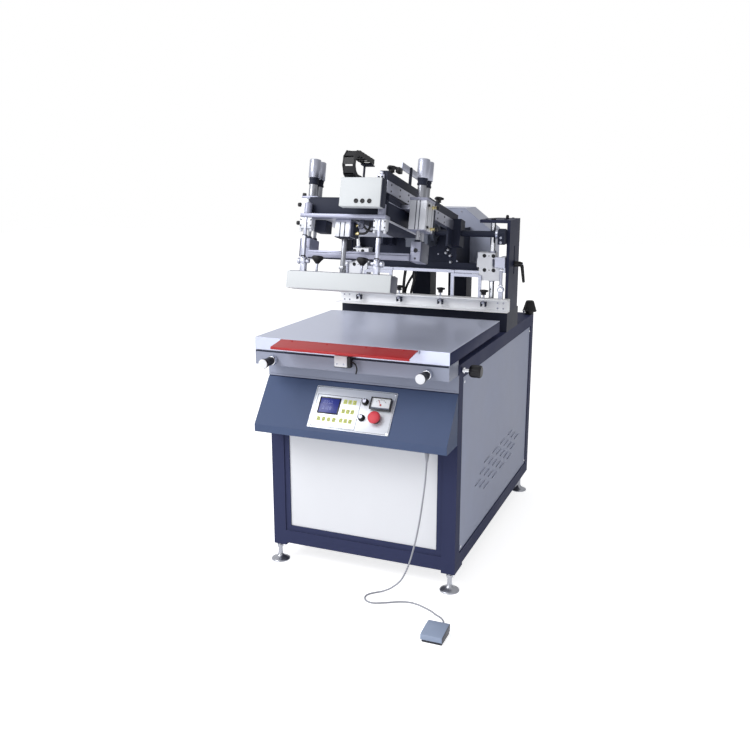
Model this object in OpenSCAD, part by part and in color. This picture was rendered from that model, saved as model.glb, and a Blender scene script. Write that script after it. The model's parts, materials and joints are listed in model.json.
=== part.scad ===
// Flatbed screen printer with a swing-up print head, sloped console and foot pedal.
// Lengths are millimetres, X runs to the right, Y to the back and Z up.
// The drawing origin is the floor point under the middle of the cabinet; machine() then
// shifts everything so that the model's own origin lies under the middle of its outline.

/* [Cabinet] */
// Width of the cabinet
cab_w = 705; // [600:5:900]
// Depth of the cabinet
cab_d = 1125; // [1000:5:1300]
// Height of the cabinet's deck above the floor
cab_h = 808; // [780:1:840]
// Height of the frame's legs above the floor
leg_z = 64; // [50:1:90]
// Width of the frame's square tubes
tube = 50; // [40:1:60]
// Wall of the frame's square tubes
tube_wall = 3; // [2:0.5:5]
// Thickness of the sheet panels
sheet = 2; // [1.5:0.5:3]
// Gap between a panel and its frame
panel_gap = 1; // [0.5:0.5:3]
// Height of one louvre slot
louvre_h = 5; // [3:1:8]
// Length of one louvre slot
louvre_w = 78; // [40:1:100]
// Diameter of a levelling foot's disc
foot_d = 70; // [50:1:80]

/* [Console] */
// How far the console reaches down from the cabinet's deck
console_drop = 272; // [240:1:300]
// How far the console stands out from the cabinet
console_out = 117; // [90:1:125]
// Width of the control plate
plate_w = 300; // [260:1:400]
// Height of the control plate along the slope
plate_h = 156; // [140:1:170]
// Diameter of the mushroom stop button
stop_d = 40; // [30:1:44]
// Diameter of a speed knob
dial_d = 24; // [18:1:28]

/* [Table] */
// Width of the print table
table_w = 700; // [600:5:700]
// Depth of the print table
table_d = 623; // [560:1:640]
// Thickness of the print table
table_t = 43; // [30:1:43]
// Height of the print surface above the deck
table_rise = 62; // [54:1:80]
// Depth of the red safety bar
bar_d = 80; // [60:1:90]
// Length of the red safety bar
bar_w = 490; // [300:5:600]

/* [Rear] */
// Distance between the two guide shafts
shaft_span = 566; // [540:2:580]
// Diameter of a guide shaft
shaft_d = 20; // [16:1:24]
// Height of the columns' top above the deck
column_h = 432; // [420:1:470]
// Length of the frame holder channel
holder_w = 724; // [680:2:740]
// Height of the frame holder channel
holder_h = 50; // [44:1:56]
// Height of the lift pivot above the deck
pivot_rise = 379; // [372:1:392]
// Diameter of the pivot shaft
pivot_d = 24; // [20:1:28]

/* [Head] */
// Angle of the raised print head
head_tilt = 13; // [8:0.5:15]
// Outside width over the head's two rails
head_w = 274; // [260:2:290]
// Length of the head's rails in front of the pivot
rail_len = 740; // [700:5:760]
// Distance between the flood bar's two cylinders
unit_span = 390; // [380:2:410]
// Width of the squeegee holder
squeegee_w = 360; // [300:5:380]
/* [Clearances] */
// Radial clearance of a running or sliding fit
fit = 0.05; // [0.02:0.01:0.1]
// Gap between pieces that move past each other
gap = 0.5; // [0.3:0.1:1]

/* [Hidden] */
$fn = 48;
half_w = cab_w / 2;
half_d = cab_d / 2;
deck_t = 6;
deck_under = cab_h - deck_t;
table_z = cab_h + table_rise;
table_front = -661;
table_back = table_front + table_d;
table_under = table_z - table_t;
apron_bottom = cab_h - 33;
strip_bottom = cab_h - 93;
rail_z = leg_z + 10;
pad_len = 90;
front_beam_z = strip_bottom - tube;
border = 20;
floor_t = 3;
foot_x = half_w - 20;

shaft_x = shaft_span / 2;
shaft_y = 82;
beam_front = 68;
beam_back = 250;
beam_top = cab_h + 78;
column_top = cab_h + column_h;
column_front = beam_front;
column_back = 230;
column_wall = 12;
top_plate = 12;
holder_z = cab_h + 82;
holder_front = 26;
holder_back = 66;
holder_wall = 5;
pivot_y = 50;
pivot_z = cab_h + pivot_rise;
lever_y = 150;
lever_z = cab_h + 259;
stud_r = 4;
screw_x = [20 - shaft_x, -87, 87, shaft_x - 20];

rail_w = 25;
rail_in = head_w / 2 - rail_w;
rail_bottom = 46;
rail_top = 74;
short_rail = 200;
cross_bar_z = 33;
cross_bar_t = 7;
guide_bottom = 9;
unit_x = unit_span / 2;
unit_front = 140 - rail_len;
unit_back = unit_front + 80;
unit_bottom = -84;
unit_top = 12;
post_x = 127;
cross_front = unit_front - 124;
cross_t = 11;
cross_bottom = -66;
cross_top = -12;
holder_box_front = unit_front - 148;
holder_box_depth = 60;
holder_box_top = -248;
holder_box_bottom = -303;
holder_knob_x = 78;
holder_knob_y = holder_box_front + 26;
air_x = -9;
air_y = holder_box_front + 51;
air_low = -131;
air_rod_d = 16;

side_screw_y = -535;
side_screw_z = cab_h - 21;
front_screw_x = 279;
front_screw_z = cab_h - 13;
adjust_d = 12;
table_travel = 8;
side_knob_end = half_w + 68;
front_knob_end = -738;

console_top = cab_h - 96;
console_low = cab_h - console_drop;
console_front = -half_d - console_out;
console_lip = 27;
slope_low = console_low + console_lip;
strip_t = 3;
slope_run = console_out - strip_t - gap;
slope_deg = atan2(console_top - slope_low, slope_run);

bar_off = 3;
bar_deg = 8;
bar_t = 2.5;
bar_hinge_z = table_z - 3;

control_x = [10, 150];
control_front = -rail_len - 66;
control_depth = 36;
control_low = -50;
control_top = 39;

// Depth of a point of the head, given along and square to its rails
function head_y(along, square) = pivot_y + along * cos(head_tilt) + square * sin(head_tilt);

// The outline's extents, from which the model's own origin is taken
extent_right = side_knob_end;
extent_left = -max(holder_w / 2, foot_x + foot_d / 2);
bar_front = table_front - bar_off - bar_d * cos(bar_deg) - bar_t * sin(bar_deg);
squeegee_front = head_y(holder_box_front, holder_box_bottom);
control_front_y = head_y(control_front, control_low);
extent_front = min(front_knob_end, bar_front, squeegee_front, control_front_y, console_front);
centre_x = (extent_right + extent_left) / 2;
centre_y = (half_d + extent_front) / 2;

// Shared frames and shapes

module machine() {
    translate([-centre_x, -centre_y, 0]) children();
}

// The head's own frame: X along the pivot, Y along the rails, Z square to them
module head() {
    machine() translate([0, pivot_y, pivot_z]) rotate([-head_tilt, 0, 0]) children();
}

// The console's sloped face: X to the right, Y up the slope, Z out of the face
module slope() {
    machine() translate([0, console_front, slope_low]) rotate([slope_deg, 0, 0]) children();
}

// A box between two opposite corners
module block(low, high) {
    translate(low) cube(high - low);
}

module both_sides() {
    children();
    mirror([1, 0, 0]) children();
}

module rod_x(r, x0, x1) {
    translate([x0, 0, 0]) rotate([0, 90, 0]) cylinder(r = r, h = x1 - x0);
}

module rod_y(r, y0, y1) {
    translate([0, y0, 0]) rotate([-90, 0, 0]) cylinder(r = r, h = y1 - y0);
}

module rod_z(r, z0, z1) {
    translate([0, 0, z0]) cylinder(r = r, h = z1 - z0);
}

// A flat shape with round corners
module round_rect(w, h, r) {
    square([w - 2 * r, h], center = true);
    square([w, h - 2 * r], center = true);
    for (x = [-1, 1], y = [-1, 1])
        translate([x * (w / 2 - r), y * (h / 2 - r)]) circle(r = r, $fn = 32);
}

// A three-armed star knob standing on its stud, from z = 0 up
module star_knob(size, stud_r, stud_len) {
    translate([0, 0, -stud_len]) cylinder(r = stud_r, h = stud_len, $fn = 24);
    cylinder(r = size * 0.26, h = size * 0.3, $fn = 24);
    translate([0, 0, size * 0.3]) linear_extrude(size * 0.22) {
        circle(r = size * 0.3, $fn = 32);
        for (a = [90, 210, 330])
            rotate(a) translate([size * 0.32, 0]) circle(r = size * 0.18, $fn = 24);
    }
}

// Cabinet

module tube_along(axis, low, high) {
    w = tube_wall;
    ends = [for (i = [0:2]) i == axis ? 1 : -w];
    difference() {
        block(low, high);
        block(low - ends, high + ends);
    }
}

module base_frame() {
    color([0.27, 0.29, 0.39]) machine() difference() {
        union() {
            both_sides() {
                for (y = [-half_d, half_d - tube]) {
                    tube_along(2, [half_w - tube, y, rail_z], [half_w, y + tube, cab_h]);
                    block([half_w - tube, y, cab_h - tube_wall], [half_w, y + tube, cab_h]);
                }
                block([half_w - tube, -half_d, leg_z], [half_w, pad_len - half_d, rail_z]);
                for (z = [rail_z, cab_h - tube])
                    tube_along(1, [half_w - tube, tube - half_d, z], [half_w, half_d - tube, z + tube]);
            }
            for (y = [-half_d, half_d - tube])
                tube_along(0, [tube - half_w, y, rail_z], [half_w - tube, y + tube, rail_z + tube]);
            tube_along(0, [tube - half_w, -half_d, front_beam_z],
                [half_w - tube, tube - half_d, front_beam_z + tube]);
            tube_along(0, [tube - half_w, half_d - tube, cab_h - tube], [half_w - tube, half_d, cab_h]);
            inner_border(-half_d + 4, front_beam_z);
            inner_border(half_d - 8, cab_h - tube);
            block([tube - half_w, tube - half_d, rail_z], [half_w - tube, half_d - tube, rail_z + floor_t]);
            block([tube - half_w, -490, deck_under], [half_w - tube, half_d - tube, cab_h]);
            block([tube - half_w, beam_front, cab_h - tube], [half_w - tube, beam_front + tube, deck_under]);
        }
        translate([0, side_screw_y, side_screw_z]) rod_x(adjust_d / 2 + fit, half_w - tube - 1, half_w + 1);
    }
}

// The dark border that frames the front and rear openings, up to a given height
module inner_border(y, top) {
    low = rail_z + tube;
    difference() {
        block([tube - half_w, y, low], [half_w - tube, y + 4, top]);
        block([tube + border - half_w, y - 1, low + border], [half_w - tube - border, y + 5, top - border]);
    }
}

louvre_rows = [4, 5, 6, 5, 4];
louvre_pitch_y = 121;
louvre_pitch_z = 26;
louvre_centre = [27, rail_z + 229];

module louvre_slots() {
    for (row = [0:len(louvre_rows) - 1], i = [0:louvre_rows[row] - 1])
        translate([0, louvre_centre[0] + (i - (louvre_rows[row] - 1) / 2) * louvre_pitch_y,
                louvre_centre[1] + (2 - row) * louvre_pitch_z])
            rotate([90, 0, 90]) translate([0, 0, -10]) linear_extrude(20)
                round_rect(louvre_w, louvre_h, louvre_h / 2 - 0.1);
}

// One louvred side panel with its four screws, on the right-hand side
module side_panel() {
    low_z = rail_z + tube + panel_gap;
    high_z = cab_h - tube - panel_gap;
    edge_y = half_d - tube - panel_gap;
    difference() {
        block([half_w - 4 - sheet, -edge_y, low_z], [half_w - 4, edge_y, high_z]);
        translate([half_w - 4, 0, 0]) louvre_slots();
    }
    for (y = [-edge_y, edge_y - 12])
        block([half_w - 24, y, low_z + 20], [half_w - 4 - sheet, y + 12, high_z - 20]);
    for (y = [-1, 1], z = [low_z + 18, high_z - 18])
        translate([half_w - 4, y * (edge_y - 18), z]) rotate([0, 90, 0]) cylinder(r = 5, h = 2, $fn = 24);
}

module side_panel_left() {
    color([0.63, 0.65, 0.72]) machine() mirror([1, 0, 0]) side_panel();
}

module side_panel_right() {
    color([0.63, 0.65, 0.72]) machine() side_panel();
}

// A flat panel in one of the two end openings, behind the border
module end_panel(y, top) {
    edge = half_w - tube - panel_gap;
    block([-edge, y, rail_z + tube + panel_gap], [edge, y + sheet, top - panel_gap]);
}

module front_panel() {
    color([0.96, 0.97, 0.98]) machine() end_panel(8 - half_d, front_beam_z);
}

module rear_panel() {
    color([0.63, 0.65, 0.72]) machine() end_panel(half_d - 8 - sheet, cab_h - tube);
}

module levelling_feet() {
    color([0.8, 0.8, 0.84]) machine() for (x = [-foot_x, foot_x]) {
        translate([x, 9 - half_d, 0]) levelling_foot(leg_z);
        translate([x, half_d - 71, 0]) levelling_foot(rail_z);
    }
}

// A foot turned in one piece: disc, neck, adjusting nut and stud
module levelling_foot(top) {
    r = foot_d / 2;
    rotate_extrude() polygon([[0, 0], [r, 0], [r, 3], [r - 1.5, 5], [r - 6, 7.6], [r - 13, 10.5], [r - 20, 14],
        [11.5, 18], [9, 24], [8, 32], [8, top - 11], [12, top - 11], [12, top], [0, top]]);
}

module front_strip() {
    color([0.6, 0.62, 0.68]) machine() difference() {
        block([-half_w, -half_d - strip_t, strip_bottom], [half_w, -half_d, apron_bottom - gap]);
        block([6 - half_w, -half_d - 2 * strip_t, strip_bottom + 6],
            [half_w - 6, -half_d - strip_t / 2, strip_bottom + 8]);
    }
}

// The open-topped box under the table's front, which carries the two front knobs
module table_apron() {
    x = half_w - 3;
    w = 3;
    top = table_under - 1.5;
    color([0.6, 0.62, 0.69]) machine() difference() {
        block([-x, table_front, apron_bottom], [x, -half_d - gap, top]);
        block([-x + w, table_front + w, apron_bottom + w], [x - w, -half_d, top + 1]);
        for (side = [-1, 1])
            translate([side * front_screw_x, 0, front_screw_z])
                rod_y(adjust_d / 2 + fit, table_front - 1, table_front + w + 1);
    }
}

// Console

module console_housing() {
    w = 3;
    back = console_front + slope_run;
    outline = [[back, console_top], [console_front, slope_low], [console_front, console_low],
        [back, console_low]];
    color([0.3, 0.33, 0.45]) {
        machine() difference() {
            rotate([90, 0, 90]) translate([0, 0, -half_w]) linear_extrude(cab_w) polygon(outline);
            rotate([90, 0, 90]) translate([0, 0, -half_w + w]) linear_extrude(cab_w - 2 * w)
                polygon([[back - w, console_top - 3 * w], [console_front + w, slope_low - w],
                    [console_front + w, console_low + w], [back - w, console_low + w]]);
        }
    }
}

plate_low = 14;
plate_t = 3;
plate_x = -2;

module console_plate() {
    color([0.75, 0.78, 0.84]) slope() {
        translate([plate_x, plate_low + plate_h / 2, 0])
            linear_extrude(plate_t) round_rect(plate_w, plate_h, 4);
        for (x = [-1, 1], y = [0, 1])
            translate([plate_x + x * (plate_w / 2 - 9), plate_low + 9 + y * (plate_h - 18), plate_t])
                cylinder(r = 4, h = 1.5, $fn = 24);
    }
}

// Places on the console, as X and distance up the slope from its lower edge
display_at = [-89, 97];
key_x = [-33, -16, 1];
key_y = [117, 82, 48];
row_x = [-116, -97, -78, -59];
dial_x = 40;
dial_upper = 123;
dial_lower = 65;
meter_at = [99, 119];
stop_at = [91, 66];

module display_unit() {
    key = [13, 16];
    places = concat([for (x = key_x, y = key_y) [x, y]], [for (x = row_x) [x, key_y[2]]]);
    color([0.25, 0.3, 0.6]) slope() {
        translate([display_at[0], display_at[1], plate_t]) linear_extrude(3) round_rect(78, 61, 2);
        for (at = places)
            translate([at[0], at[1], plate_t]) linear_extrude(1) round_rect(key[0], key[1], 2);
    }
}

module meter_body() {
    color([0.12, 0.12, 0.13]) slope() translate([meter_at[0], meter_at[1], plate_t]) difference() {
        linear_extrude(16) round_rect(74, 44, 3);
        translate([0, 4, 10]) linear_extrude(7) round_rect(64, 29, 2);
    }
}

module meter_needle() {
    color([0.75, 0.1, 0.1]) slope() translate([meter_at[0], meter_at[1] - 4, plate_t + 10.4]) {
        cylinder(r = 3, h = 2, $fn = 24);
        rotate(30) translate([-0.6, 0, 0.6]) cube([1.2, 20, 0.8]);
    }
}

module speed_knob(y) {
    slope() translate([dial_x, y, plate_t + 0.4]) {
        cylinder(r = dial_d / 2, h = 4);
        cylinder(r = dial_d / 2 - 3, h = 16);
        translate([-0.8, 0, 16]) cube([1.6, dial_d / 2 - 4, 0.8]);
    }
}

module speed_knob_upper() {
    color([0.08, 0.08, 0.09]) speed_knob(dial_upper);
}

module speed_knob_lower() {
    color([0.08, 0.08, 0.09]) speed_knob(dial_lower);
}

module stop_collar() {
    color([0.1, 0.1, 0.12]) slope() translate([stop_at[0], stop_at[1], plate_t]) difference() {
        cylinder(r = stop_d / 2 - 4, h = 12);
        translate([0, 0, 1]) cylinder(r = stop_d / 4 + fit, h = 12);
    }
}

module stop_button() {
    color([0.8, 0.15, 0.17]) slope() translate([stop_at[0], stop_at[1], plate_t + 6]) {
        cylinder(r = stop_d / 4, h = 13);
        translate([0, 0, 12]) rotate_extrude() polygon([[0, 0], [stop_d / 2 - 1, 0], [stop_d / 2, 2],
            [stop_d / 2 - 1, 6], [stop_d / 2 - 5, 9], [0, 11]]);
    }
}

// Foot pedal and its cord

gland_x = 262;
gland_y = -610;
gland_len = 34.5;

module cord_gland() {
    color([0.1, 0.1, 0.11]) machine() translate([gland_x, gland_y, console_low - gland_len]) {
        cylinder(r = 5, h = 12, $fn = 24);
        translate([0, 0, 12]) cylinder(r = 11, h = 12, $fn = 6);
        translate([0, 0, 24]) cylinder(r = 8, h = gland_len - 24);
    }
}

cord_r = 3;
cord_points = [[gland_x, gland_y, console_low - gland_len], [262, -611, 488], [260, -618, 420],
    [254, -626, 345], [246, -634, 270],
    [234, -642, 195], [216, -650, 120], [192, -655, 62], [160, -658, 28], [130, -662, 10], [104, -672, 3.5],
    [84, -694, 3.2], [82, -718, 3.2], [96, -738, 3.2], [122, -744, 3.2], [158, -728, 3.2], [196, -706, 3.2],
    [230, -694, 3.2], [262, -696, 3.2], [294, -708, 3.2], [322, -722, 3.2], [344, -738, 3.2],
    [364, -750, 3.2], [379, -768, 4.2], [386, -788, 6.5], [387, -808, 9], [386, -824, 10], [386, -834, 10]];

function direction(points, i) = let (a = points[max(i - 1, 0)], b = points[min(i + 1, len(points) - 1)])
    (b - a) / norm(b - a);
function ring(centre, along, r, sides) =
    let (u = cross(along, [0.3, 0.9, 0.1]), v = u / norm(u), w = cross(along, v))
    [for (k = [0:sides - 1]) centre + r * (v * cos(360 * k / sides) + w * sin(360 * k / sides))];

// A tube swept along hand-chosen points
module tube_sweep(points, r, sides) {
    n = len(points);
    rings = [for (i = [0:n - 1]) each ring(points[i], direction(points, i), r, sides)];
    sides_faces = [for (i = [0:n - 2], k = [0:sides - 1], half = [0, 1])
        let (next = (k + 1) % sides, low = i * sides, high = low + sides)
        half == 0 ? [low + k, high + k, high + next] : [low + k, high + next, low + next]];
    caps = [[for (k = [0:sides - 1]) k], [for (k = [0:sides - 1]) n * sides - 1 - k]];
    polyhedron(points = rings, faces = concat(sides_faces, caps), convexity = 6);
}

module foot_cord() {
    color([0.6, 0.61, 0.66]) machine() tube_sweep(cord_points, cord_r, 8);
}

pedal_at = [386, -826];
pedal_w = 72;
pedal_d = 86;
pedal_wall = 2.5;
base_w = pedal_w - 2 * pedal_wall - 2 * gap;
base_t = 6;
pin_y = -14;
pin_z = 22;
pin_r = 3;
lug_w = 6;

module pedal() {
    machine() translate([pedal_at[0], pedal_at[1], 0]) children();
}

// The base plate with a lug at each side for the treadle's pin, and the cord's entry between them
module pedal_base() {
    color([0.2, 0.22, 0.27]) pedal() {
        block([-base_w / 2, 6 - pedal_d, 0], [base_w / 2, -4, base_t]);
        difference() {
            for (x = [-base_w / 2, base_w / 2 - lug_w])
                block([x, pin_y - 8, base_t], [x + lug_w, pin_y + 8, pin_z + 7]);
            translate([0, pin_y, pin_z]) rod_x(pin_r + fit, -pedal_w, pedal_w);
        }
        block([-11, pin_y - 8, base_t], [11, pin_y + 6, base_t + 9]);
    }
}

// The treadle's side outline, as depth and height: higher at the hinge, with a rounded front
treadle_outline = [[-1, 10], [-pedal_d + 3, 9], [-pedal_d, 11], [-pedal_d, 24], [-pedal_d + 2, 27.5],
    [-pedal_d + 7, 29.5], [-32, 35.5], [-8, 36], [-3, 34.5], [-1, 31]];

module pedal_treadle() {
    w = pedal_wall;
    color([0.6, 0.66, 0.76]) pedal() {
        difference() {
            rotate([90, 0, 90]) translate([0, 0, -pedal_w / 2])
                linear_extrude(pedal_w) polygon(treadle_outline);
            rotate([90, 0, 90]) translate([0, 0, w - pedal_w / 2]) linear_extrude(pedal_w - 2 * w)
                polygon([[1, 0], [w - pedal_d, 0], [w - pedal_d, 25], [7 - pedal_d, 27], [-32, 35.5 - w],
                    [1, 36 - w]]);
        }
        translate([0, pin_y, pin_z]) rod_x(pin_r, -pedal_w / 2 + w / 2, pedal_w / 2 - w / 2);
    }
}

// Table with its two slides and adjusters

module table_top() {
    nut_low = front_screw_z - 12;
    slot = adjust_d / 2 + table_travel + gap;
    color([0.72, 0.73, 0.78]) machine() {
        block([-table_w / 2, table_front, table_under], [table_w / 2, table_back, table_z]);
        for (x = [-1, 1]) {
            difference() {
                translate([x * front_screw_x, 0, 0]) block([-22, -640, nut_low], [22, -620, table_under]);
                block([x * front_screw_x - slot, -641, front_screw_z - 7],
                    [x * front_screw_x + slot, -619, front_screw_z + 7]);
            }
            translate([x * 200, 0, 0]) block([-12, -520, table_under - 4], [12, -120, table_under]);
        }
    }
}

slide_top = table_under - 4 - 0.2;
slide_low = cab_h + 0.2;

module cross_slide() {
    nut = [half_w - tube - 40, side_screw_y];
    half = table_w / 2 - 50;
    front = side_screw_y + 50;
    color([0.5, 0.5, 0.54]) machine() {
        block([-half, front, slide_low + 4], [half, table_back - 62, slide_top]);
        for (y = [front + 35, table_back - 142])
            block([20 - half, y - 15, slide_low], [half - 20, y + 15, slide_low + 4]);
        block([nut[0] - 40, nut[1] - 16, slide_low + 4], [nut[0] + 14, front, slide_top]);
        difference() {
            block([nut[0] - 8, nut[1] - 16, side_screw_z - 12], [nut[0] + 14, nut[1] + 16, slide_top]);
            translate([0, side_screw_y, side_screw_z]) rod_x(adjust_d / 2 + gap, nut[0] - 20, nut[0] + 30);
        }
    }
}

// A grooved hand knob turned about X, its shaft starting at x = 0
module hand_knob(shaft_back, shaft_len, knob_len, r) {
    rod_x(adjust_d / 2, -shaft_back, shaft_len);
    rod_x(adjust_d / 2 + 4, 0.5, 10);
    translate([shaft_len, 0, 0]) rotate([0, 90, 0]) {
        cylinder(r1 = r - 6, r2 = r - 2.5, h = 5);
        translate([0, 0, 5]) linear_extrude(knob_len - 8) difference() {
            circle(r = r);
            for (a = [0:30:330])
                rotate(a) translate([r + 1, 0]) circle(r = 2.4, $fn = 24);
        }
        translate([0, 0, knob_len - 3]) cylinder(r1 = r - 2.5, r2 = r - 4.5, h = 3);
    }
}

module side_adjust_knob() {
    color([0.1, 0.1, 0.11]) machine() translate([half_w, side_screw_y, side_screw_z])
        hand_knob(tube + 45, 28, side_knob_end - half_w - 28, 21);
}

// A front adjusting knob with its silver collar, grip and white end cap
module front_knob(x) {
    grip = -table_front + front_knob_end;
    machine() translate([x, table_front, front_screw_z]) {
        rod_y(adjust_d / 2, grip + 4, 44);
        rod_y(17, -20, -gap);
        rod_y(14, grip + 12, -20);
        rod_y(17, grip, grip + 12);
    }
}

module front_adjust_knob_left() {
    color([0.1, 0.1, 0.11]) front_knob(-front_screw_x);
}

module front_adjust_knob_right() {
    color([0.1, 0.1, 0.11]) front_knob(front_screw_x);
}

module safety_bar() {
    lip = 7;
    place = [0, table_front - bar_off, bar_hinge_z];
    color([0.72, 0.18, 0.18]) machine() translate(place) rotate([bar_deg, 0, 0]) {
        block([-bar_w / 2, -bar_d, 0], [bar_w / 2, 0, bar_t]);
        block([-bar_w / 2, -bar_d, -lip], [bar_w / 2, bar_t - bar_d, 0]);
        rod_x(bar_t, -bar_w / 2, bar_w / 2);
    }
}

// Hinge lugs for the bar, switch and its short lead, all on the table's front face
switch_x = -8;
switch_low = table_z - 74;
switch_top = table_z - 34;

module safety_switch() {
    front = table_front - table_travel - 22;
    back = table_front - table_travel - 1;
    color([0.9, 0.9, 0.92]) machine() {
        block([switch_x - 29, front, switch_low], [switch_x + 29, back, switch_top]);
        block([switch_x - 20, back, table_under + 2], [switch_x + 20, table_front, switch_top]);
        translate([switch_x, front + 11, switch_top]) cylinder(r = 4, h = 25, $fn = 24);
        for (x = [-bar_w / 2 - 5, bar_w / 2 + 1])
            difference() {
                block([x, table_front - bar_off - 5, bar_hinge_z - 8], [x + 4, table_front, bar_hinge_z + 2.5]);
                translate([0, table_front - bar_off, bar_hinge_z]) rod_x(2, x - 1, x + 5);
            }
        tube_sweep([[switch_x + 29, front + 11, switch_low + 19], [switch_x + 35, front + 11, switch_low + 19],
            [switch_x + 42, front + 11, switch_low + 14], [switch_x + 47, front + 12, switch_low + 4],
            [switch_x + 46, front + 14, switch_low - 12], [switch_x + 42, front + 16, switch_low - 19]], 3, 8);
    }
}

// Rear columns, shafts and frame holder

module column_beam() {
    color([0.2, 0.21, 0.26]) machine() difference() {
        block([-half_w, beam_front, cab_h], [half_w, beam_back, beam_top]);
        for (x = [-1, 1])
            translate([x * shaft_x, shaft_y, 0]) rod_z(shaft_d / 2, beam_top - 30, beam_top + 1);
    }
}

module columns() {
    inner = half_w - column_wall;
    color([0.28, 0.3, 0.37]) machine() both_sides() difference() {
        union() {
            block([inner, column_front, beam_top], [half_w, column_back, column_top]);
            translate([0, 0, column_top - top_plate]) linear_extrude(top_plate)
                polygon([[shaft_x - 50, column_front], [inner, column_front], [inner, column_back],
                    [shaft_x - 20, column_back], [shaft_x - 50, column_back - 60]]);
            block([shaft_x + 24, column_front + 30, beam_top], [inner, column_back, beam_top + 10]);
        }
        translate([shaft_x, shaft_y, 0]) rod_z(shaft_d / 2, column_top - top_plate - 1, column_top + 1);
        block([inner - 1, lever_y - 6, lever_z - 40], [half_w + 1, lever_y + 6, lever_z + 70]);
    }
}

module guide_shafts() {
    color([0.85, 0.86, 0.9]) machine() both_sides()
        translate([shaft_x, shaft_y, 0]) rod_z(shaft_d / 2, beam_top - 30, column_top);
}

module frame_holder() {
    w = holder_wall;
    top = holder_z + holder_h;
    color([0.95, 0.96, 0.97]) machine() {
        difference() {
            block([-holder_w / 2, holder_front, holder_z], [holder_w / 2, holder_back, top]);
            block([-holder_w / 2 - 1, holder_front - 1, holder_z + w],
                [holder_w / 2 + 1, holder_back - w, top - w]);
            for (x = screw_x)
                translate([x, holder_front + 16, 0]) rod_z(4 + fit, top - w - 1, top + 1);
        }
    }
}

block_low = lever_z - 60;
block_mid = lever_z - 9;
block_up = lever_z + 24;
block_top = lever_z + 48;

module slider_blocks() {
    color([0.94, 0.95, 0.97]) machine() both_sides() difference() {
        union() {
            block([shaft_x - 53, 62, block_up], [shaft_x + 15, 104, block_top]);
            block([shaft_x - 56, 62, block_mid], [shaft_x + 5, 70, block_up]);
            block([shaft_x - 47, 62, block_low], [shaft_x + 35, 104, block_mid]);
        }
        translate([shaft_x, shaft_y, 0]) rod_z(shaft_d / 2 + fit, block_low - 1, block_top + 1);
    }
}

module holder_hangers() {
    leg_in = 124;
    inner = half_w - column_wall;
    top = holder_z + holder_h;
    link_x = shaft_x + 42;
    eye_z = top + 34;
    tie_z = block_low + 12;
    color([0.7, 0.71, 0.75]) machine() {
        block([-shaft_x + 47, 66, tie_z + 12], [shaft_x - 47, 78, tie_z + 24]);
        both_sides() {
            block([leg_in, 54, tie_z], [shaft_x - 47, 62, tie_z + 12]);
            block([leg_in, 54, top], [leg_in + 12, 62, tie_z]);
            block([leg_in, 62, tie_z + 6], [leg_in + 12, 66, tie_z + 24]);
            block([shaft_x - 47, 54, top], [shaft_x - 35, 62, block_low + 20]);
            translate([link_x, 54, eye_z]) {
                rotate([-90, 0, 0]) difference() {
                    cylinder(r = 13, h = 12);
                    translate([0, 0, -1]) cylinder(r = 6, h = 14);
                }
                block([-8, 0, top - eye_z], [8, 12, -11]);
                translate([0, 6, 0]) rod_z(6, 12, lever_z - 3 - eye_z);
            }
            block([shaft_x + 18, 50, lever_z - 7], [inner - gap, 62, lever_z + 33]);
            block([shaft_x + 35, 62, lever_z - 27], [inner - gap, 120, lever_z + 33]);
            difference() {
                union() {
                    translate([0, lever_y, lever_z]) rod_x(12, shaft_x + 35, inner - gap);
                    block([shaft_x + 35, 120, lever_z - 12], [inner - gap, lever_y, lever_z + 12]);
                }
                translate([0, lever_y, lever_z]) rod_x(stud_r + fit, shaft_x + 34, inner);
            }
        }
    }
}

module clamp_screw(x) {
    top = holder_z + holder_h;
    color([0.1, 0.1, 0.1]) machine() translate([x, holder_front + 16, top]) {
        translate([0, 0, 14]) star_knob(36, 4, 14);
        rod_z(4, -14, 0);
        translate([0, 0, -20]) cylinder(r = 11, h = 6, $fn = 32);
    }
}

module clamp_screw_1() { clamp_screw(screw_x[0]); }
module clamp_screw_2() { clamp_screw(screw_x[1]); }
module clamp_screw_3() { clamp_screw(screw_x[2]); }
module clamp_screw_4() { clamp_screw(screw_x[3]); }

// The ratchet lever that locks the holder's height, outside the right-hand column
module clamp_lever() {
    color([0.08, 0.08, 0.08]) machine() translate([half_w, lever_y, lever_z]) {
        rod_x(stud_r, -30, gap);
        rod_x(11, gap, 26);
        rod_x(8, 26, 34);
        translate([28, 0, 0]) rotate([180, -10, 0]) cylinder(r1 = 7, r2 = 5, h = 70);
    }
}

module pivot_shaft() {
    color([0.15, 0.15, 0.17]) machine() translate([0, pivot_y, pivot_z])
        rod_x(pivot_d / 2, -half_w + column_wall + gap, half_w - column_wall - gap);
}

module pivot_bearings() {
    inner = half_w - column_wall;
    color([0.22, 0.23, 0.28]) machine() both_sides() difference() {
        union() {
            translate([0, pivot_y, pivot_z]) rod_x(22, inner - 26, inner);
            block([inner - 26, pivot_y - 22, pivot_z - 37], [inner, pivot_y, pivot_z]);
            block([inner - 26, pivot_y, pivot_z - 37], [inner, column_front + 20, pivot_z + 16]);
        }
        translate([0, pivot_y, pivot_z]) rod_x(pivot_d / 2 + fit, inner - 30, inner + 1);
    }
}

// The pedestal and dark housing behind the head, and the hood over its drive

pillar_y = 290;
pillar_x = 40;
pillar_w = 80;
housing_z = cab_h + 237;
housing_top = pivot_z + 8;
housing_w = 128;
screen_top = column_top - top_plate - 2;
hood_w = 216;
hood_eaves = pivot_z - 2;
hood_ridge = pivot_z + 84;

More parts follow.
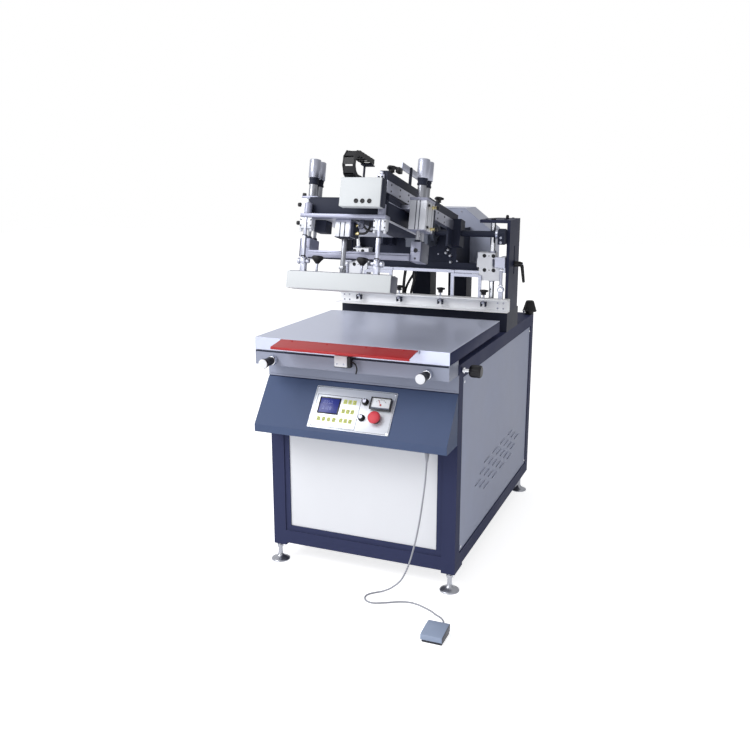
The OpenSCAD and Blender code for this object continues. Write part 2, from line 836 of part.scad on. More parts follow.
module drive_pedestal() {
    w = 3;
    color([0.17, 0.18, 0.22]) machine() {
        both_sides() difference() {
            block([pillar_x, pillar_y, cab_h], [pillar_x + pillar_w, pillar_y + pillar_w, housing_z - 10]);
            block([pillar_x + w, pillar_y + w, cab_h - 1],
                [pillar_x + pillar_w - w, pillar_y + pillar_w - w, housing_z]);
        }
        block([-hood_w, 112, housing_z - 10], [hood_w, 450, housing_z]);
        block([-hood_w, 108, housing_z - 10], [hood_w, 112, housing_z + 22]);
        difference() {
            block([-shaft_x - 3, 112, housing_z], [-housing_w, 172, screen_top]);
            block([-shaft_x, 112 + w, housing_z - 1], [1 - housing_w, 173, screen_top - w]);
        }
        difference() {
            block([-housing_w, 112, housing_top], [housing_w, 112 + w, screen_top]);
            translate([0, 0, pivot_z]) rod_y(62, 100, 120);
        }
        difference() {
            block([-housing_w, 112, housing_z], [housing_w, 300, housing_top]);
            block([-housing_w + w, 112 + w, housing_z], [housing_w - w, 301, housing_top + 1]);
            translate([0, 0, pivot_z]) rod_y(62, 100, 120);
        }
    }
}

module rear_hood() {
    w = 2;
    low = housing_z;
    ridge_w = hood_w - 111;
    outer = [[-hood_w, low], [hood_w, low], [hood_w, hood_eaves], [ridge_w, hood_ridge], [-ridge_w, hood_ridge],
        [-hood_w, hood_eaves]];
    inner = [[w - hood_w, low - 1], [hood_w - w, low - 1], [hood_w - w, hood_eaves - 1],
        [ridge_w - 0.7, hood_ridge - w], [0.7 - ridge_w, hood_ridge - w], [w - hood_w, hood_eaves - 1]];
    color([0.7, 0.71, 0.8]) machine() difference() {
        translate([0, 450, 0]) rotate([90, 0, 0]) linear_extrude(148) polygon(outer);
        translate([0, 448, 0]) rotate([90, 0, 0]) linear_extrude(144) polygon(inner);
        block([3 - housing_w, 290, low - 1], [housing_w - 3, 305, housing_top - 3]);
        translate([0, pivot_y, pivot_z]) rod_y(56, 245, 256);
    }
}

module lift_gearmotor() {
    color([0.35, 0.37, 0.42]) machine() translate([0, pivot_y, pivot_z]) {
        difference() {
            union() {
                block([-45, -52, -55], [45, 58, 52]);
                rod_x(34, -60, 60);
            }
            rod_x(pivot_d / 2 + fit, -61, 61);
        }
        rod_y(55, 58, 70);
        for (k = [0:9])
            rod_y(k % 2 == 0 ? 52 : 47, 70 + k * 17, 87 + k * 17);
        rod_y(50, 240, 262);
        block([-40, 75, housing_z - pivot_z + gap], [40, 230, -40]);
    }
}

module air_regulator() {
    color([0.1, 0.1, 0.11]) machine() translate([half_w - 12, half_d - 32, cab_h]) {
        translate([-8, 0, 0]) cylinder(r = 18, h = 12);
        translate([0, 0, 12]) cylinder(r1 = 31, r2 = 28, h = 8);
        translate([0, 0, 20]) cylinder(r1 = 28, r2 = 15, h = 40);
    }
}

// Print head

module head_frame() {
    outer = rail_in + rail_w;
    color([0.22, 0.23, 0.27]) head() difference() {
        union() {
            both_sides() {
                block([rail_in, -short_rail, rail_bottom], [outer, 30, rail_top]);
                block([outer, -22, -52], [outer + 30, 34, 52]);
                block([rail_in, -22, -52], [outer, 34, rail_bottom]);
                block([outer - 8, -76, -60], [outer, -22, guide_bottom]);
            }
            block([rail_in, -rail_len, rail_bottom], [outer, -short_rail, rail_top]);
            block([-rail_in, -90, rail_bottom], [rail_in, -60, rail_top]);
            block([chain_x - 6, -rail_len, cross_bar_z], [rail_in, 30 - rail_len, cross_bar_z + cross_bar_t]);
        }
        rod_x(pivot_d / 2, -outer - 40, outer + 40);
    }
}

module guide_rail(front) {
    difference() {
        block([rail_in, front, guide_bottom], [rail_in + rail_w, -22, rail_bottom]);
        block([rail_in - 1, front - 1, guide_bottom + 14], [rail_in + 6, -21, guide_bottom + 24]);
    }
}

// The carriage hangs on the long right-hand guide; the short left-hand one stiffens the pivot's yoke
module guide_rails() {
    color([0.7, 0.72, 0.78]) head() {
        guide_rail(3 - rail_len);
        mirror([1, 0, 0]) guide_rail(-short_rail);
    }
}

module sensor_rail() {
    x = rail_in + 6;
    strip_front = 160 - rail_len;
    color([0.4, 0.42, 0.47]) head() {
        block([x, strip_front, 114], [x + 4, -300, 138]);
        for (y = [strip_front + 75, -330])
            block([x + 4, y, rail_top], [x + 8, y + 12, 138]);
        block([x - 14, strip_front - 26, 96], [x + 4, strip_front, 124]);
        for (y = [60 - rail_len, -190])
            translate([rail_in + rail_w / 2, y, rail_top + 6]) star_knob(36, 4, 6);
    }
}

module control_box() {
    back = control_front + control_depth;
    color([0.9, 0.91, 0.93]) head() {
        difference() {
            block([control_x[0], control_front, control_low], [control_x[1], back, control_top]);
            for (x = [84, 106, 130])
                translate([x, 0, control_low + 18]) rod_y(6, control_front - 1, control_front + 4);
        }
        block([control_x[0] + 10, back, control_top - 30], [control_x[1] - 20, -rail_len, control_top - 26]);
        block([control_x[0] + 10, -rail_len, control_top - 30], [control_x[0] + 50, 3 - rail_len, cross_bar_z]);
    }
}

// A bridge chain: its links run along the top, round the bend and back along the bottom
chain_x = 9;
chain_w = 38;
chain_h = 18;
chain_side = 3;
chain_bend = 37;
chain_y = -rail_len - 16;
chain_tip = 100 - rail_len;
chain_links = 12;
chain_low = 40;
chain_top_run = chain_tip - chain_y;
chain_pitch = (chain_top_run + PI * chain_bend + chain_low) / chain_links;
chain_z = cross_bar_z + cross_bar_t + chain_h / 2 + chain_bend;

// A link's place on the chain, as depth, height and turn, at the distance s from the tip
function chain_at(s) = s < chain_top_run ? [chain_tip - s, chain_z + chain_bend, 180]
    : s < chain_top_run + PI * chain_bend
    ? let (a = 90 + (s - chain_top_run) / chain_bend * 180 / PI)
        [chain_y + chain_bend * cos(a), chain_z + chain_bend * sin(a), a + 90]
    : [chain_y + s - chain_top_run - PI * chain_bend, chain_z - chain_bend, 0];

// The outline of one side of the chain: a plate for each link and an eye at each joint
module chain_outline() {
    for (i = [0:chain_links - 1]) {
        place = chain_at((i + 0.5) * chain_pitch);
        translate([place[0], place[1]]) rotate(place[2]) {
            square([chain_pitch - 2, chain_h - 2], center = true);
            translate([chain_pitch / 2, 0]) circle(r = chain_h / 2, $fn = 48);
        }
    }
}

module energy_chain() {
    inner = chain_w - 2 * chain_side;
    color([0.1, 0.1, 0.11]) head() {
        for (x = [chain_x, chain_x + chain_w - chain_side])
            translate([x, 0, 0]) rotate([90, 0, 90]) linear_extrude(chain_side) chain_outline();
        for (i = [0:chain_links - 1]) {
            place = chain_at((i + 0.5) * chain_pitch);
            translate([chain_x + chain_side, place[0], place[1]]) rotate([place[2], 0, 0]) {
                translate([0, -5, chain_h / 2 - 4]) cube([inner, 10, 2]);
                translate([0, 0.5 - chain_pitch / 2, 2 - chain_h / 2]) cube([inner, chain_pitch - 1, 2]);
            }
        }
    }
}

guide_w = 15;
guide_front = holder_box_front - 4;
guide_d = 12;
guide_low = -205;
flange_z = -76;
flange_t = 12;
bearing_low = -112;

module carriage() {
    outer = rail_in + rail_w;
    truck_z = [guide_bottom + 0.5, rail_bottom - 0.5];
    plate_top = guide_bottom - 2;
    deck_top = -5;
    skirt_back = unit_front + 245;
    arm_y = chain_tip + gap;
    arm_top = chain_z + chain_bend - chain_h / 2 - gap;
    color([0.2, 0.21, 0.26]) head() {
        both_sides() {
            block([outer, unit_front, deck_top - 13], [unit_x - press_w / 2, unit_back, deck_top]);
            block([unit_x - 30, unit_back, unit_bottom], [unit_x + 30, unit_back + 12, deck_top - 40]);
            guide_block();
        }
        block([rail_in - 20, unit_front - 60, truck_z[0]], [rail_in - gap, unit_back, truck_z[1]]);
        block([rail_in - 20, unit_front - 60, plate_top], [rail_in - gap, unit_back, truck_z[0]]);
        block([rail_in - 20, cross_front + cross_t, deck_top], [outer, unit_back, plate_top]);
        block([-post_x - 8, cross_front, cross_bottom], [post_x + 8, cross_front + cross_t, cross_top]);
        block([-post_x - 20, guide_front, flange_z], [post_x + 20, cross_front + cross_t, flange_z + flange_t]);
        block([-unit_x - 30, unit_back, deck_top - 40], [unit_x + 30, unit_back + 12, deck_top]);
        block([-outer, cross_front + cross_t, deck_top - 13], [outer, unit_back, deck_top]);
        block([12 - outer, cross_front + cross_t, flange_z], [outer, skirt_back, flange_z + 8]);
        for (x = [12 - outer, outer - 12])
            block([x, cross_front + cross_t, flange_z + 8], [x + 12, unit_back, deck_top - 13]);
        block([chain_x, arm_y, deck_top], [chain_x + 6, arm_y + 6, arm_top]);
        block([chain_x, arm_y - 24, arm_top - 4], [chain_x + chain_w, arm_y + 6, arm_top]);
        block([-119, unit_front - 100, -115], [-79, unit_front - 50, flange_z]);
    }
}

// The bearing that holds one squeegee guide between its two wings, with the stop above the flange
module guide_block() {
    wing = 21.5;
    translate([post_x, 0, 0]) {
        difference() {
            block([-wing, guide_front + 4, bearing_low], [wing, cross_front, flange_z]);
            block([-guide_w / 2 - fit, guide_front, bearing_low - 1],
                [guide_w / 2 + fit, guide_front + guide_d + fit, flange_z + 1]);
        }
        for (x = [-wing + 4, wing - 4])
            translate([x, guide_front + 10, bearing_low - 9]) cylinder(r = 5, h = 9, $fn = 24);
        translate([0, guide_front + 14, flange_z + flange_t]) cylinder(r = 12.5, h = 35);
    }
}

// Section of one of a press unit's two cylinders, with its bore and the slots for its position switches
module cylinder_section(w, d, bore) {
    difference() {
        square([w, d], center = true);
        for (x = [-6, 6])
            translate([x, -d / 2]) square([3, 5], center = true);
        for (side = [-1, 1])
            translate([side * w / 2, 0]) square([5, 3], center = true);
        circle(r = bore / 2 + fit, $fn = 48);
    }
}

press_gap = 2;
press_depth = (unit_back - unit_front - press_gap) / 2;
press_y = [unit_front + press_depth / 2, unit_back - press_depth / 2];
press_rod_d = 12;
press_w = 56;
sleeve_d = 28;
sleeve_depth = 44;

module press_cylinders() {
    color([0.93, 0.94, 0.96]) head() both_sides() {
        for (y = press_y)
            translate([unit_x, y, unit_bottom]) {
                linear_extrude(unit_top - sleeve_depth - unit_bottom)
                    cylinder_section(press_w, press_depth, press_rod_d);
                translate([0, 0, unit_top - sleeve_depth - unit_bottom]) linear_extrude(sleeve_depth)
                    cylinder_section(press_w, press_depth, sleeve_d);
            }
        difference() {
            block([unit_x - press_w / 2 - 2, unit_front - 2, unit_top],
                [unit_x + press_w / 2 + 2, unit_back, unit_top + 8]);
            for (y = press_y)
                translate([unit_x, y, 0]) rod_z(sleeve_d / 2 + fit, unit_top - 1, unit_top + 9);
        }
        for (z = [unit_bottom + 12, unit_top - 14])
            translate([unit_x, press_y[1], z]) fitting(press_w / 2);
    }
}

// An elbow fitting standing out of a cylinder's side, from X = x0 on
module fitting(x0) {
    rod_x(4.5, x0, x0 + 8);
    translate([x0 + 12, 0, 0]) {
        rod_x(6, -4, 6);
        rod_x(4, 6, 14);
    }
}

cap_low = 84;
cap_top = 146;
clamp_top = -122;
cap_d = 39;
collar_low = 62;

module cylinder_caps() {
    color([0.78, 0.79, 0.85]) head() both_sides() {
        for (y = press_y)
            translate([unit_x, y, 0]) {
                rod_z(cap_d / 2, cap_low, cap_top);
                rod_z(cap_d / 2 - 3, collar_low, cap_low);
                rod_z(sleeve_d / 2, unit_top, collar_low);
                rod_z(press_rod_d / 2, clamp_top, unit_top);
            }
        block([unit_x - 10, press_y[0], collar_low + 2], [unit_x + 10, press_y[1], cap_top - 2]);
    }
}

module flood_bar() {
    inner = unit_x - 14;
    back = press_y[1] + 12;
    color([0.68, 0.69, 0.74]) head() {
        block([-inner, unit_front - 8, -190], [inner, unit_front + 6, -162]);
        both_sides() difference() {
            block([inner, unit_front, -186], [inner + 38, back, clamp_top]);
            translate([inner + 18, 0, -150]) rod_y(7, unit_front - 1, unit_front + 12);
        }
    }
}

module squeegee_holder() {
    half = squeegee_w / 2;
    back = holder_box_front + holder_box_depth;
    color([0.94, 0.94, 0.95]) head() {
        difference() {
            block([-half, holder_box_front, holder_box_bottom], [half, back, holder_box_top]);
            for (x = [-holder_knob_x, holder_knob_x])
                translate([air_x + x, holder_knob_y, 0])
                    rod_z(4 + fit, holder_box_top - 30, holder_box_top + 1);
            for (y = [holder_box_front + 10, back - 16])
                block([-half - 1, y, holder_box_top - 8], [half + 1, y + 6, holder_box_top + 1]);
        }
        both_sides() translate([post_x, 0, 0]) {
            block([-guide_w / 2, guide_front, guide_low], [guide_w / 2, guide_front + guide_d, flange_z - 1]);
            block([-10, guide_front + 4, holder_box_top], [10, guide_front + 22, guide_low]);
            translate([0, guide_front + 13, guide_low - 10]) rod_x(7, -20, 14);
        }
        translate([air_x, air_y, 0]) rod_z(air_rod_d / 2, holder_box_top, air_low + 40);
    }
}

module holder_knob(x) {
    color([0.08, 0.08, 0.08]) head() translate([air_x + x, holder_knob_y, holder_box_top + 34])
        star_knob(40, 4, 52);
}

module holder_knob_left() { holder_knob(-holder_knob_x); }
module holder_knob_right() { holder_knob(holder_knob_x); }

module air_cylinder() {
    w = 50;
    color([0.93, 0.94, 0.96]) head() translate([air_x, air_y, 0]) {
        translate([0, 0, air_low]) linear_extrude(flange_z - 8 - air_low) difference() {
            square([w, w], center = true);
            for (x = [-9, 0, 9])
                translate([x, -w / 2]) square([3, 5], center = true);
            circle(r = air_rod_d / 2 + fit, $fn = 48);
        }
        difference() {
            block([-w / 2 - 3, -w / 2 - 3, flange_z - 8], [w / 2 + 3, w / 2, flange_z]);
            rod_z(air_rod_d / 2 + fit, flange_z - 9, flange_z - 4);
        }
        for (z = [air_low + 14, flange_z - 16])
            translate([0, -5, z]) fitting(w / 2);
    }
}

// Hose that curls from the cylinder's lower fitting up to the flange
hose_points = [[air_x + 51, air_y - 5, -117], [air_x + 57, air_y - 5, -117], [air_x + 70, air_y - 3, -115],
    [air_x + 78, air_y, -106], [air_x + 82, air_y + 3, -94], [air_x + 83, air_y + 4, -85]];

module air_hoses() {
    color([0.08, 0.08, 0.09]) head() tube_sweep(hose_points, 4, 8);
}

module inner_equipment() {
    floor_z = rail_z + floor_t;
    color([0.45, 0.48, 0.5]) machine() {
        translate([120, 250, floor_z]) {
            block([-90, -90, 0], [90, 90, 20]);
            translate([0, 0, 130]) rod_x(110, -60, 20);
            block([-60, -60, 20], [20, 60, 60]);
        }
        block([-280, -300, floor_z], [-120, 150, floor_z + 420]);
    }
}

base_frame();
side_panel_left();
side_panel_right();
front_panel();
rear_panel();
levelling_feet();
front_strip();
table_apron();
console_housing();
console_plate();
display_unit();
meter_body();
meter_needle();
speed_knob_upper();
speed_knob_lower();
stop_button();
stop_collar();
cord_gland();
foot_cord();
pedal_base();
pedal_treadle();
table_top();
cross_slide();
side_adjust_knob();
front_adjust_knob_left();
front_adjust_knob_right();
safety_bar();
safety_switch();
column_beam();
columns();
guide_shafts();
frame_holder();
slider_blocks();
holder_hangers();
clamp_screw_1();
clamp_screw_2();
clamp_screw_3();
clamp_screw_4();
clamp_lever();
pivot_shaft();
pivot_bearings();
drive_pedestal();
rear_hood();
lift_gearmotor();
air_regulator();
head_frame();
guide_rails();
sensor_rail();
control_box();
energy_chain();
carriage();
press_cylinders();
cylinder_caps();
flood_bar();
squeegee_holder();
holder_knob_left();
holder_knob_right();
air_cylinder();
air_hoses();
inner_equipment();
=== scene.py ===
# %% [markdown]
# # A flatbed screen printer with a swing-up head
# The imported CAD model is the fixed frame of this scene. Every piece made below takes its place
# from the machine's own measurements in millimetres and is set into that frame in metres: the
# floor is z = 0 and the operator stands on the side towards -Y.

# %% Loading the frame
import json
import math

import bpy
import numpy as np
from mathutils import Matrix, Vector


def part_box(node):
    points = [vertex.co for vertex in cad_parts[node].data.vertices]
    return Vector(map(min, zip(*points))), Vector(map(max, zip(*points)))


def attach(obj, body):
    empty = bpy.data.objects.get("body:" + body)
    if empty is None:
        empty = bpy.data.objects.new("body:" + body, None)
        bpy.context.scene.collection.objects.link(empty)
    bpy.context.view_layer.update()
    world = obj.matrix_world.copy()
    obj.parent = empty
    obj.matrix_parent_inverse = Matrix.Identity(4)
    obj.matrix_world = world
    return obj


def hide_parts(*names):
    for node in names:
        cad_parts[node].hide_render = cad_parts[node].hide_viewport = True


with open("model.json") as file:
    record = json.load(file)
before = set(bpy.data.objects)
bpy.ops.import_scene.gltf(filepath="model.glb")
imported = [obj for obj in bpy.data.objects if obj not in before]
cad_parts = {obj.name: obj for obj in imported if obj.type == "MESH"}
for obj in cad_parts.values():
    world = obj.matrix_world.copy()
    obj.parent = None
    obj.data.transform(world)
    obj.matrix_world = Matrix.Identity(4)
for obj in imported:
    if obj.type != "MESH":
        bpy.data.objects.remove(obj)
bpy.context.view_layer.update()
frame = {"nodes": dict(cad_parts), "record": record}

nodes = frame["nodes"]

# %% [markdown]
# ## Camera
# The viewer stands in front of the machine and a little to its right, and looks slightly down
# on the table. The camera's place and lens follow from the straight edges of the table, of the
# cabinet and of the console, whose real lengths are known from the frame.

# %% Camera
azimuth, elevation = math.radians(22.3677), math.radians(13.5742)
camera_data = bpy.data.cameras.new("camera")
camera_data.lens, camera_data.sensor_width = 41.218, 36.0
camera_data.clip_end = 60
camera = bpy.data.objects.new("camera", camera_data)
camera.location = (1.10797, -3.09223, 1.43412)
camera.rotation_euler = (math.radians(90) - elevation, 0, azimuth)
bpy.context.scene.collection.objects.link(camera)
bpy.context.scene.camera = camera
print("camera at", tuple(round(v, 3) for v in camera.location))

# %% [markdown]
# ## Three frames of measurement
# The cabinet is drawn square to the floor. The console's face slopes, and the print head is
# raised by 13 degrees about its rear shaft, so pieces on them are easier to measure along the
# slope and along the head's rails. Each function turns millimetres in one of these frames into
# metres in the model's frame.

# %% Frames
MM = 0.001
base_low, base_high = (np.array(corner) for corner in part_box("base_frame"))
MIDDLE = (base_low + base_high) / 2 * [1, 1, 0]
PIVOT_Y, PIVOT_Z = 50, 1187
TILT = math.radians(13)
CONSOLE_FRONT, CONSOLE_LOW = -679.5, 563
SLOPE_RISE, SLOPE_RUN = 149, 113.5
SLOPE = math.atan2(SLOPE_RISE, SLOPE_RUN)

def on_machine(p):
    """Cabinet frame: X right, Y back and Z up from the floor under the cabinet's MIDDLE."""
    return np.asarray(p, float) * MM + MIDDLE

def turned_at(y0, z0, angle):
    """A frame at (y0, z0), turned about X: (x, y0 + y cos - z sin, z0 + y sin + z cos)."""
    c, s = math.cos(angle), math.sin(angle)

    def place(p):
        """Points of the turned frame, in metres of the model's frame."""
        x, y, z = np.moveaxis(np.asarray(p, float), -1, 0)
        return on_machine(np.stack([x, y0 + y * c - z * s, z0 + y * s + z * c], -1))

    return place

# X runs along the pivot, Y along the rails and Z square to them.
on_head = turned_at(PIVOT_Y, PIVOT_Z, -TILT)
# X runs right, Y up the slope from its lower edge and Z out of the face.
on_slope = turned_at(CONSOLE_FRONT, CONSOLE_LOW, SLOPE)

print("cabinet's middle:", MIDDLE.round(5), "slope:", round(math.degrees(SLOPE), 2), "degrees")

# %% [markdown]
# ## Shapes worked out with numpy
# A turned part is a profile carried round an axis, a bent sheet or a machined block is an outline
# carried along a straight line, and a cable is a ring carried along a curve. Each of these gives
# a pair: an array of points and a list of faces. A small rounding runs along the edges, because
# no real edge is perfectly sharp and the rounding catches the light.

# %% Rings and their faces
def ring_faces(rings, sides):
    """Quads between neighbouring rings: point k of ring i joins points k and k+1 of ring i+1."""
    i, k = np.meshgrid(np.arange(rings - 1), np.arange(sides), indexing="ij")
    a, b = i * sides + k, i * sides + (k + 1) % sides
    return np.stack([a, b, b + sides, a + sides], -1).reshape(-1, 4).tolist()

def joined(*shapes):
    """One shape from several: points in a row, faces moved on by the points before them."""
    points, faces, count = [], [], 0
    for p, f in shapes:
        points.append(p)
        faces += [[v + count for v in face] for face in f]
        count += len(p)
    return np.concatenate(points), faces

def turned_to(shape, axis):
    """The shape with its own z laid along x, y or z, by passing the coordinates on in order."""
    order = {"x": [2, 0, 1], "y": [1, 2, 0], "z": [0, 1, 2]}[axis]
    return shape[0][:, order], shape[1]

def moved(shape, *to):
    """The shape moved by a vector."""
    return shape[0] + np.array(to, float), shape[1]

def closed(rings, first, last):
    """A shape from rings (i, k); its ends are fans of triangles round the points first and last."""
    count, sides = rings.shape[:2]
    n, k = count * sides, np.arange(sides)
    after = (k + 1) % sides
    low = np.stack([np.full(sides, n), after, k], -1).tolist()
    high = np.stack([np.full(sides, n + 1), n - sides + k, n - sides + after], -1).tolist()
    points = np.concatenate([rings.reshape(-1, 3), [first, last]])
    return points, ring_faces(count, sides) + low + high

# %% Turned parts
def lathe(profile, sides=32, ripple=0.0, waves=0):
    """Point (i, k): radius r_i (1 + ripple cos(waves t_k)) and height h_i, t_k = 2 pi k / sides."""
    r, h = np.array(profile, float).T
    t = 2 * np.pi * np.arange(sides) / sides
    radius = r[:, None] * (1 + ripple * np.cos(waves * t)[None, :])
    height = np.broadcast_to(h[:, None], radius.shape)
    rings = np.stack([radius * np.cos(t), radius * np.sin(t), height], -1)
    return closed(rings, [0, 0, h[0]], [0, 0, h[-1]])

def rod(r, low, high, edge=0.6, sides=24):
    """A round bar from low to high, its rims rounded by edge."""
    e = min(edge, r * 0.4, (high - low) * 0.4)
    low_rim = [(r - e, low), (r - 0.3 * e, low + 0.3 * e), (r, low + e)]
    high_rim = [(r, high - e), (r - 0.3 * e, high - 0.3 * e), (r - e, high)]
    return lathe(low_rim + high_rim, sides)

# %% Outlines carried along a line
def mitred(outline, inset):
    """The outline moved in: p - inset (n1 + n2) / (1 + n1.n2), n1 and n2 its edges' outward normals."""
    edge = np.roll(outline, -1, 0) - outline
    n = np.stack([edge[:, 1], -edge[:, 0]], -1) / np.linalg.norm(edge, axis=1)[:, None]
    m = np.roll(n, 1, 0)
    return outline - inset * (n + m) / (1 + (n * m).sum(1) + 1e-9)[:, None]

def bar(outline, low, high, edge=1.0, steps=2):
    """Ring j of an end: inset edge (1 - sin a_j), depth edge (1 - cos a_j); flat faces close it."""
    outline = np.array(outline, float)
    e = min(edge, (high - low) * 0.4)
    a = np.linspace(0, np.pi / 2, steps + 1)
    inset = np.concatenate([e * (1 - np.sin(a)), e * (1 - np.sin(a))[::-1]])
    z = np.concatenate([low + e * (1 - np.cos(a)), high - e * (1 - np.cos(a))[::-1]])
    rings = [np.column_stack([mitred(outline, d), np.full(len(outline), h)])
             for d, h in zip(inset, z)]
    s, n = len(outline), len(rings)
    caps = [list(range(s))[::-1], list(range((n - 1) * s, n * s))]
    return np.concatenate(rings), ring_faces(n, s) + caps

def round_outline(x0, y0, x1, y1, r, steps=4):
    """A rectangle whose corners are quarter circles of radius r, run round to the left."""
    r = min(r, (x1 - x0) * 0.49, (y1 - y0) * 0.49)
    a = np.linspace(0, np.pi / 2, steps)
    arc = np.stack([np.cos(a), np.sin(a)], -1) * r
    turn = lambda q: arc @ np.array([[math.cos(q), math.sin(q)], [-math.sin(q), math.cos(q)]])
    corners = [(x1 - r, y1 - r), (x0 + r, y1 - r), (x0 + r, y0 + r), (x1 - r, y0 + r)]
    return np.concatenate([turn(i * np.pi / 2) + np.array(c) for i, c in enumerate(corners)])

def block(low, high, edge=1.2, axis="z"):
    """A machined block between two corners: a rounded rectangle carried along one axis."""
    order = {"x": [1, 2, 0], "y": [2, 0, 1], "z": [0, 1, 2]}[axis]
    l, h = np.array(low, float)[order], np.array(high, float)[order]
    e = min(edge, (h - l).min() * 0.4)
    return turned_to(bar(round_outline(l[0], l[1], h[0], h[1], e, 3), l[2], h[2], e), axis)

def blocks(edge, *rows):
    """Blocks with the same rounding, each from its two corners written as one row of six numbers."""
    return [block(row[:3], row[3:], edge) for row in rows]

# %% Cables and bent strips
def smooth_path(points, per=6):
    """Catmull-Rom: half of 2 p1 + (p2-p0) t + (2p0-5p1+4p2-p3) t^2 + (3p1-p0-3p2+p3) t^3."""
    p = np.array(points, float)
    q = np.concatenate([[2 * p[0] - p[1]], p, [2 * p[-1] - p[-2]]])
    t = np.linspace(0, 1, per, endpoint=False)[None, :, None]
    a, b, c, d = (q[i:len(q) - 3 + i, None, :] for i in range(4))
    square, cube = 2 * a - 5 * b + 4 * c - d, 3 * b - a - 3 * c + d
    curve = 0.5 * (2 * b + (c - a) * t + square * t ** 2 + cube * t ** 3)
    return np.concatenate([curve.reshape(-1, 3), p[-1:]])

def tube(path, r, sides=12):
    """Rings square to the path: p_i + r_i (u_i cos t_k + v_i sin t_k); r may change along the way."""
    p = np.array(path, float)
    d = np.gradient(p, axis=0)
    d /= np.linalg.norm(d, axis=1)[:, None]
    u = np.cross(d, [0.31, 0.23, 0.92])  # a direction that no path here follows
    u /= np.linalg.norm(u, axis=1)[:, None]
    v = np.cross(d, u)
    t = 2 * np.pi * np.arange(sides) / sides
    r = np.broadcast_to(np.asarray(r, float), len(p))[:, None, None]
    cos_t, sin_t = np.cos(t)[None, :, None], np.sin(t)[None, :, None]
    return closed(p[:, None] + r * (u[:, None] * cos_t + v[:, None] * sin_t), p[0], p[-1])

# %% From shapes to pieces
CRISP = math.radians(35)

def piece(name, shapes, place, body, slot, finish=None, replaces=None):
    """An object whose mesh holds one shape or a list of them; edges above CRISP stay sharp."""
    points, faces = joined(*(shapes if isinstance(shapes, list) else [shapes]))
    mesh = bpy.data.meshes.new(name)
    mesh.from_pydata(place(points).tolist(), [], faces)
    mesh.polygons.foreach_set("use_smooth", np.ones(len(mesh.polygons), bool))
    mesh.set_sharp_from_angle(angle=CRISP)
    mesh.materials.append(finish or finish_of[slot])
    obj = bpy.data.objects.new(name, mesh)
    bpy.context.scene.collection.objects.link(obj)
    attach(obj, body)
    if replaces:
        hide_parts(replaces)
    print(name, len(mesh.vertices), "points on", body)
    return obj

def pieces_on(place, body):
    """The function piece for one frame and one body."""
    return lambda name, shapes, slot, finish=None, replaces=None: piece(
        name, shapes, place, body, slot, finish, replaces)

def loose(obj, place, path, diameter, **facts):
    """Turns a cord's first point and its path from mm into metres, and keeps neither."""
    place(path[0]).tolist()
    place(path).tolist()

def flipped(shape):
    """The same points with every face turned round."""
    return shape[0], [f[::-1] for f in shape[1]]

def mirrored(shape):
    """The shape's mirror image in x = 0."""
    return flipped((shape[0] * [-1, 1, 1], shape[1]))

def both(*shapes):
    """The shapes and their mirror images in x = 0."""
    return joined(*shapes, mirrored(joined(*shapes)))

def copies(shape, places):
    """The same shape at several places."""
    return joined(*[moved(shape, *p) for p in places])

# %% Screws and studs
def stud(r, low, high, pitch=1.6):
    """A threaded rod: its radius falls by a quarter of a millimetre once a pitch."""
    z = np.arange(low, high, pitch / 4)
    deep = np.where(np.arange(len(z)) % 4 < 2, 0.0, 0.28)
    return lathe(list(zip(r - deep, z)) + [(r - 0.3, high)], 20)

def hexagon(r):
    """Six corners at the distance r."""
    a = np.arange(6) * math.pi / 3
    return np.stack([r * np.cos(a), r * np.sin(a)], -1)

def cap_screw(r, h):
    """A socket screw's head from z = 0: rounded rim, and a dish sunk in the top."""
    dish = [(0.52 * r, h), (0.46 * r, h - 0.1 * r), (0.40 * r, h - 0.45 * r), (0.1 * r, h - 0.5 * r)]
    return lathe([(r, 0), (r, h - 0.15 * r), (0.85 * r, h)] + dish, 24)

def to_front(shape):
    """The shape with its z laid towards the operator, along -y."""
    return shape[0][:, [0, 2, 1]] * [1, -1, 1], shape[1]

def front_screws(r, h, places):
    """Socket screws that face the operator."""
    return copies(to_front(cap_screw(r, h)), places)

console_piece = pieces_on(on_slope, "base")
base_piece = pieces_on(on_machine, "base")
table_piece = pieces_on(on_machine, "table")
holder_piece = pieces_on(on_machine, "holder")
head_piece, carriage_piece, flood_piece, squeegee_piece = (
    pieces_on(on_head, body) for body in ("head", "carriage", "flood", "squeegee"))

# %% [markdown]
# ## Surface effects as shader groups
# Paint, castings, brushed metal and plastic share a few effects: worn edges, a fine grain, soft
# blotches and a little dust on faces that look up. Each effect is one node group with named
# sockets, so that a finish only says how much of it there is. The groups give out masks, heights
# and normals, and the shader itself stays in each material.

# %% Building a group
def effect(name, inputs, outputs):
    """A shader group with the named sockets; returns it with its input and output nodes."""
    group = bpy.data.node_groups.new(name, "ShaderNodeTree")
    for way, sockets in (("INPUT", inputs), ("OUTPUT", outputs)):
        for label, kind, *value in sockets:
            socket = group.interface.new_socket(name=label, in_out=way, socket_type="NodeSocket" + kind)
            if value:
                socket.default_value = value[0]
    return group, group.nodes.new("NodeGroupInput"), group.nodes.new("NodeGroupOutput")

def wired(tree, kind, links, **settings):
    """A new node: its inputs are linked to sockets or set to numbers, its settings made."""
    node = tree.nodes.new(kind)
    for key, value in settings.items():
        setattr(node, key, value)
    for socket, source in links.items():
        if isinstance(source, bpy.types.NodeSocket):
            tree.links.new(source, node.inputs[socket])
        else:
            node.inputs[socket].default_value = source
    return node

def maths(tree, how, a, b, clamp=False):
    """The output of one Math node, such as a + b."""
    return wired(tree, "ShaderNodeMath", {0: a, 1: b}, operation=how, use_clamp=clamp).outputs[0]

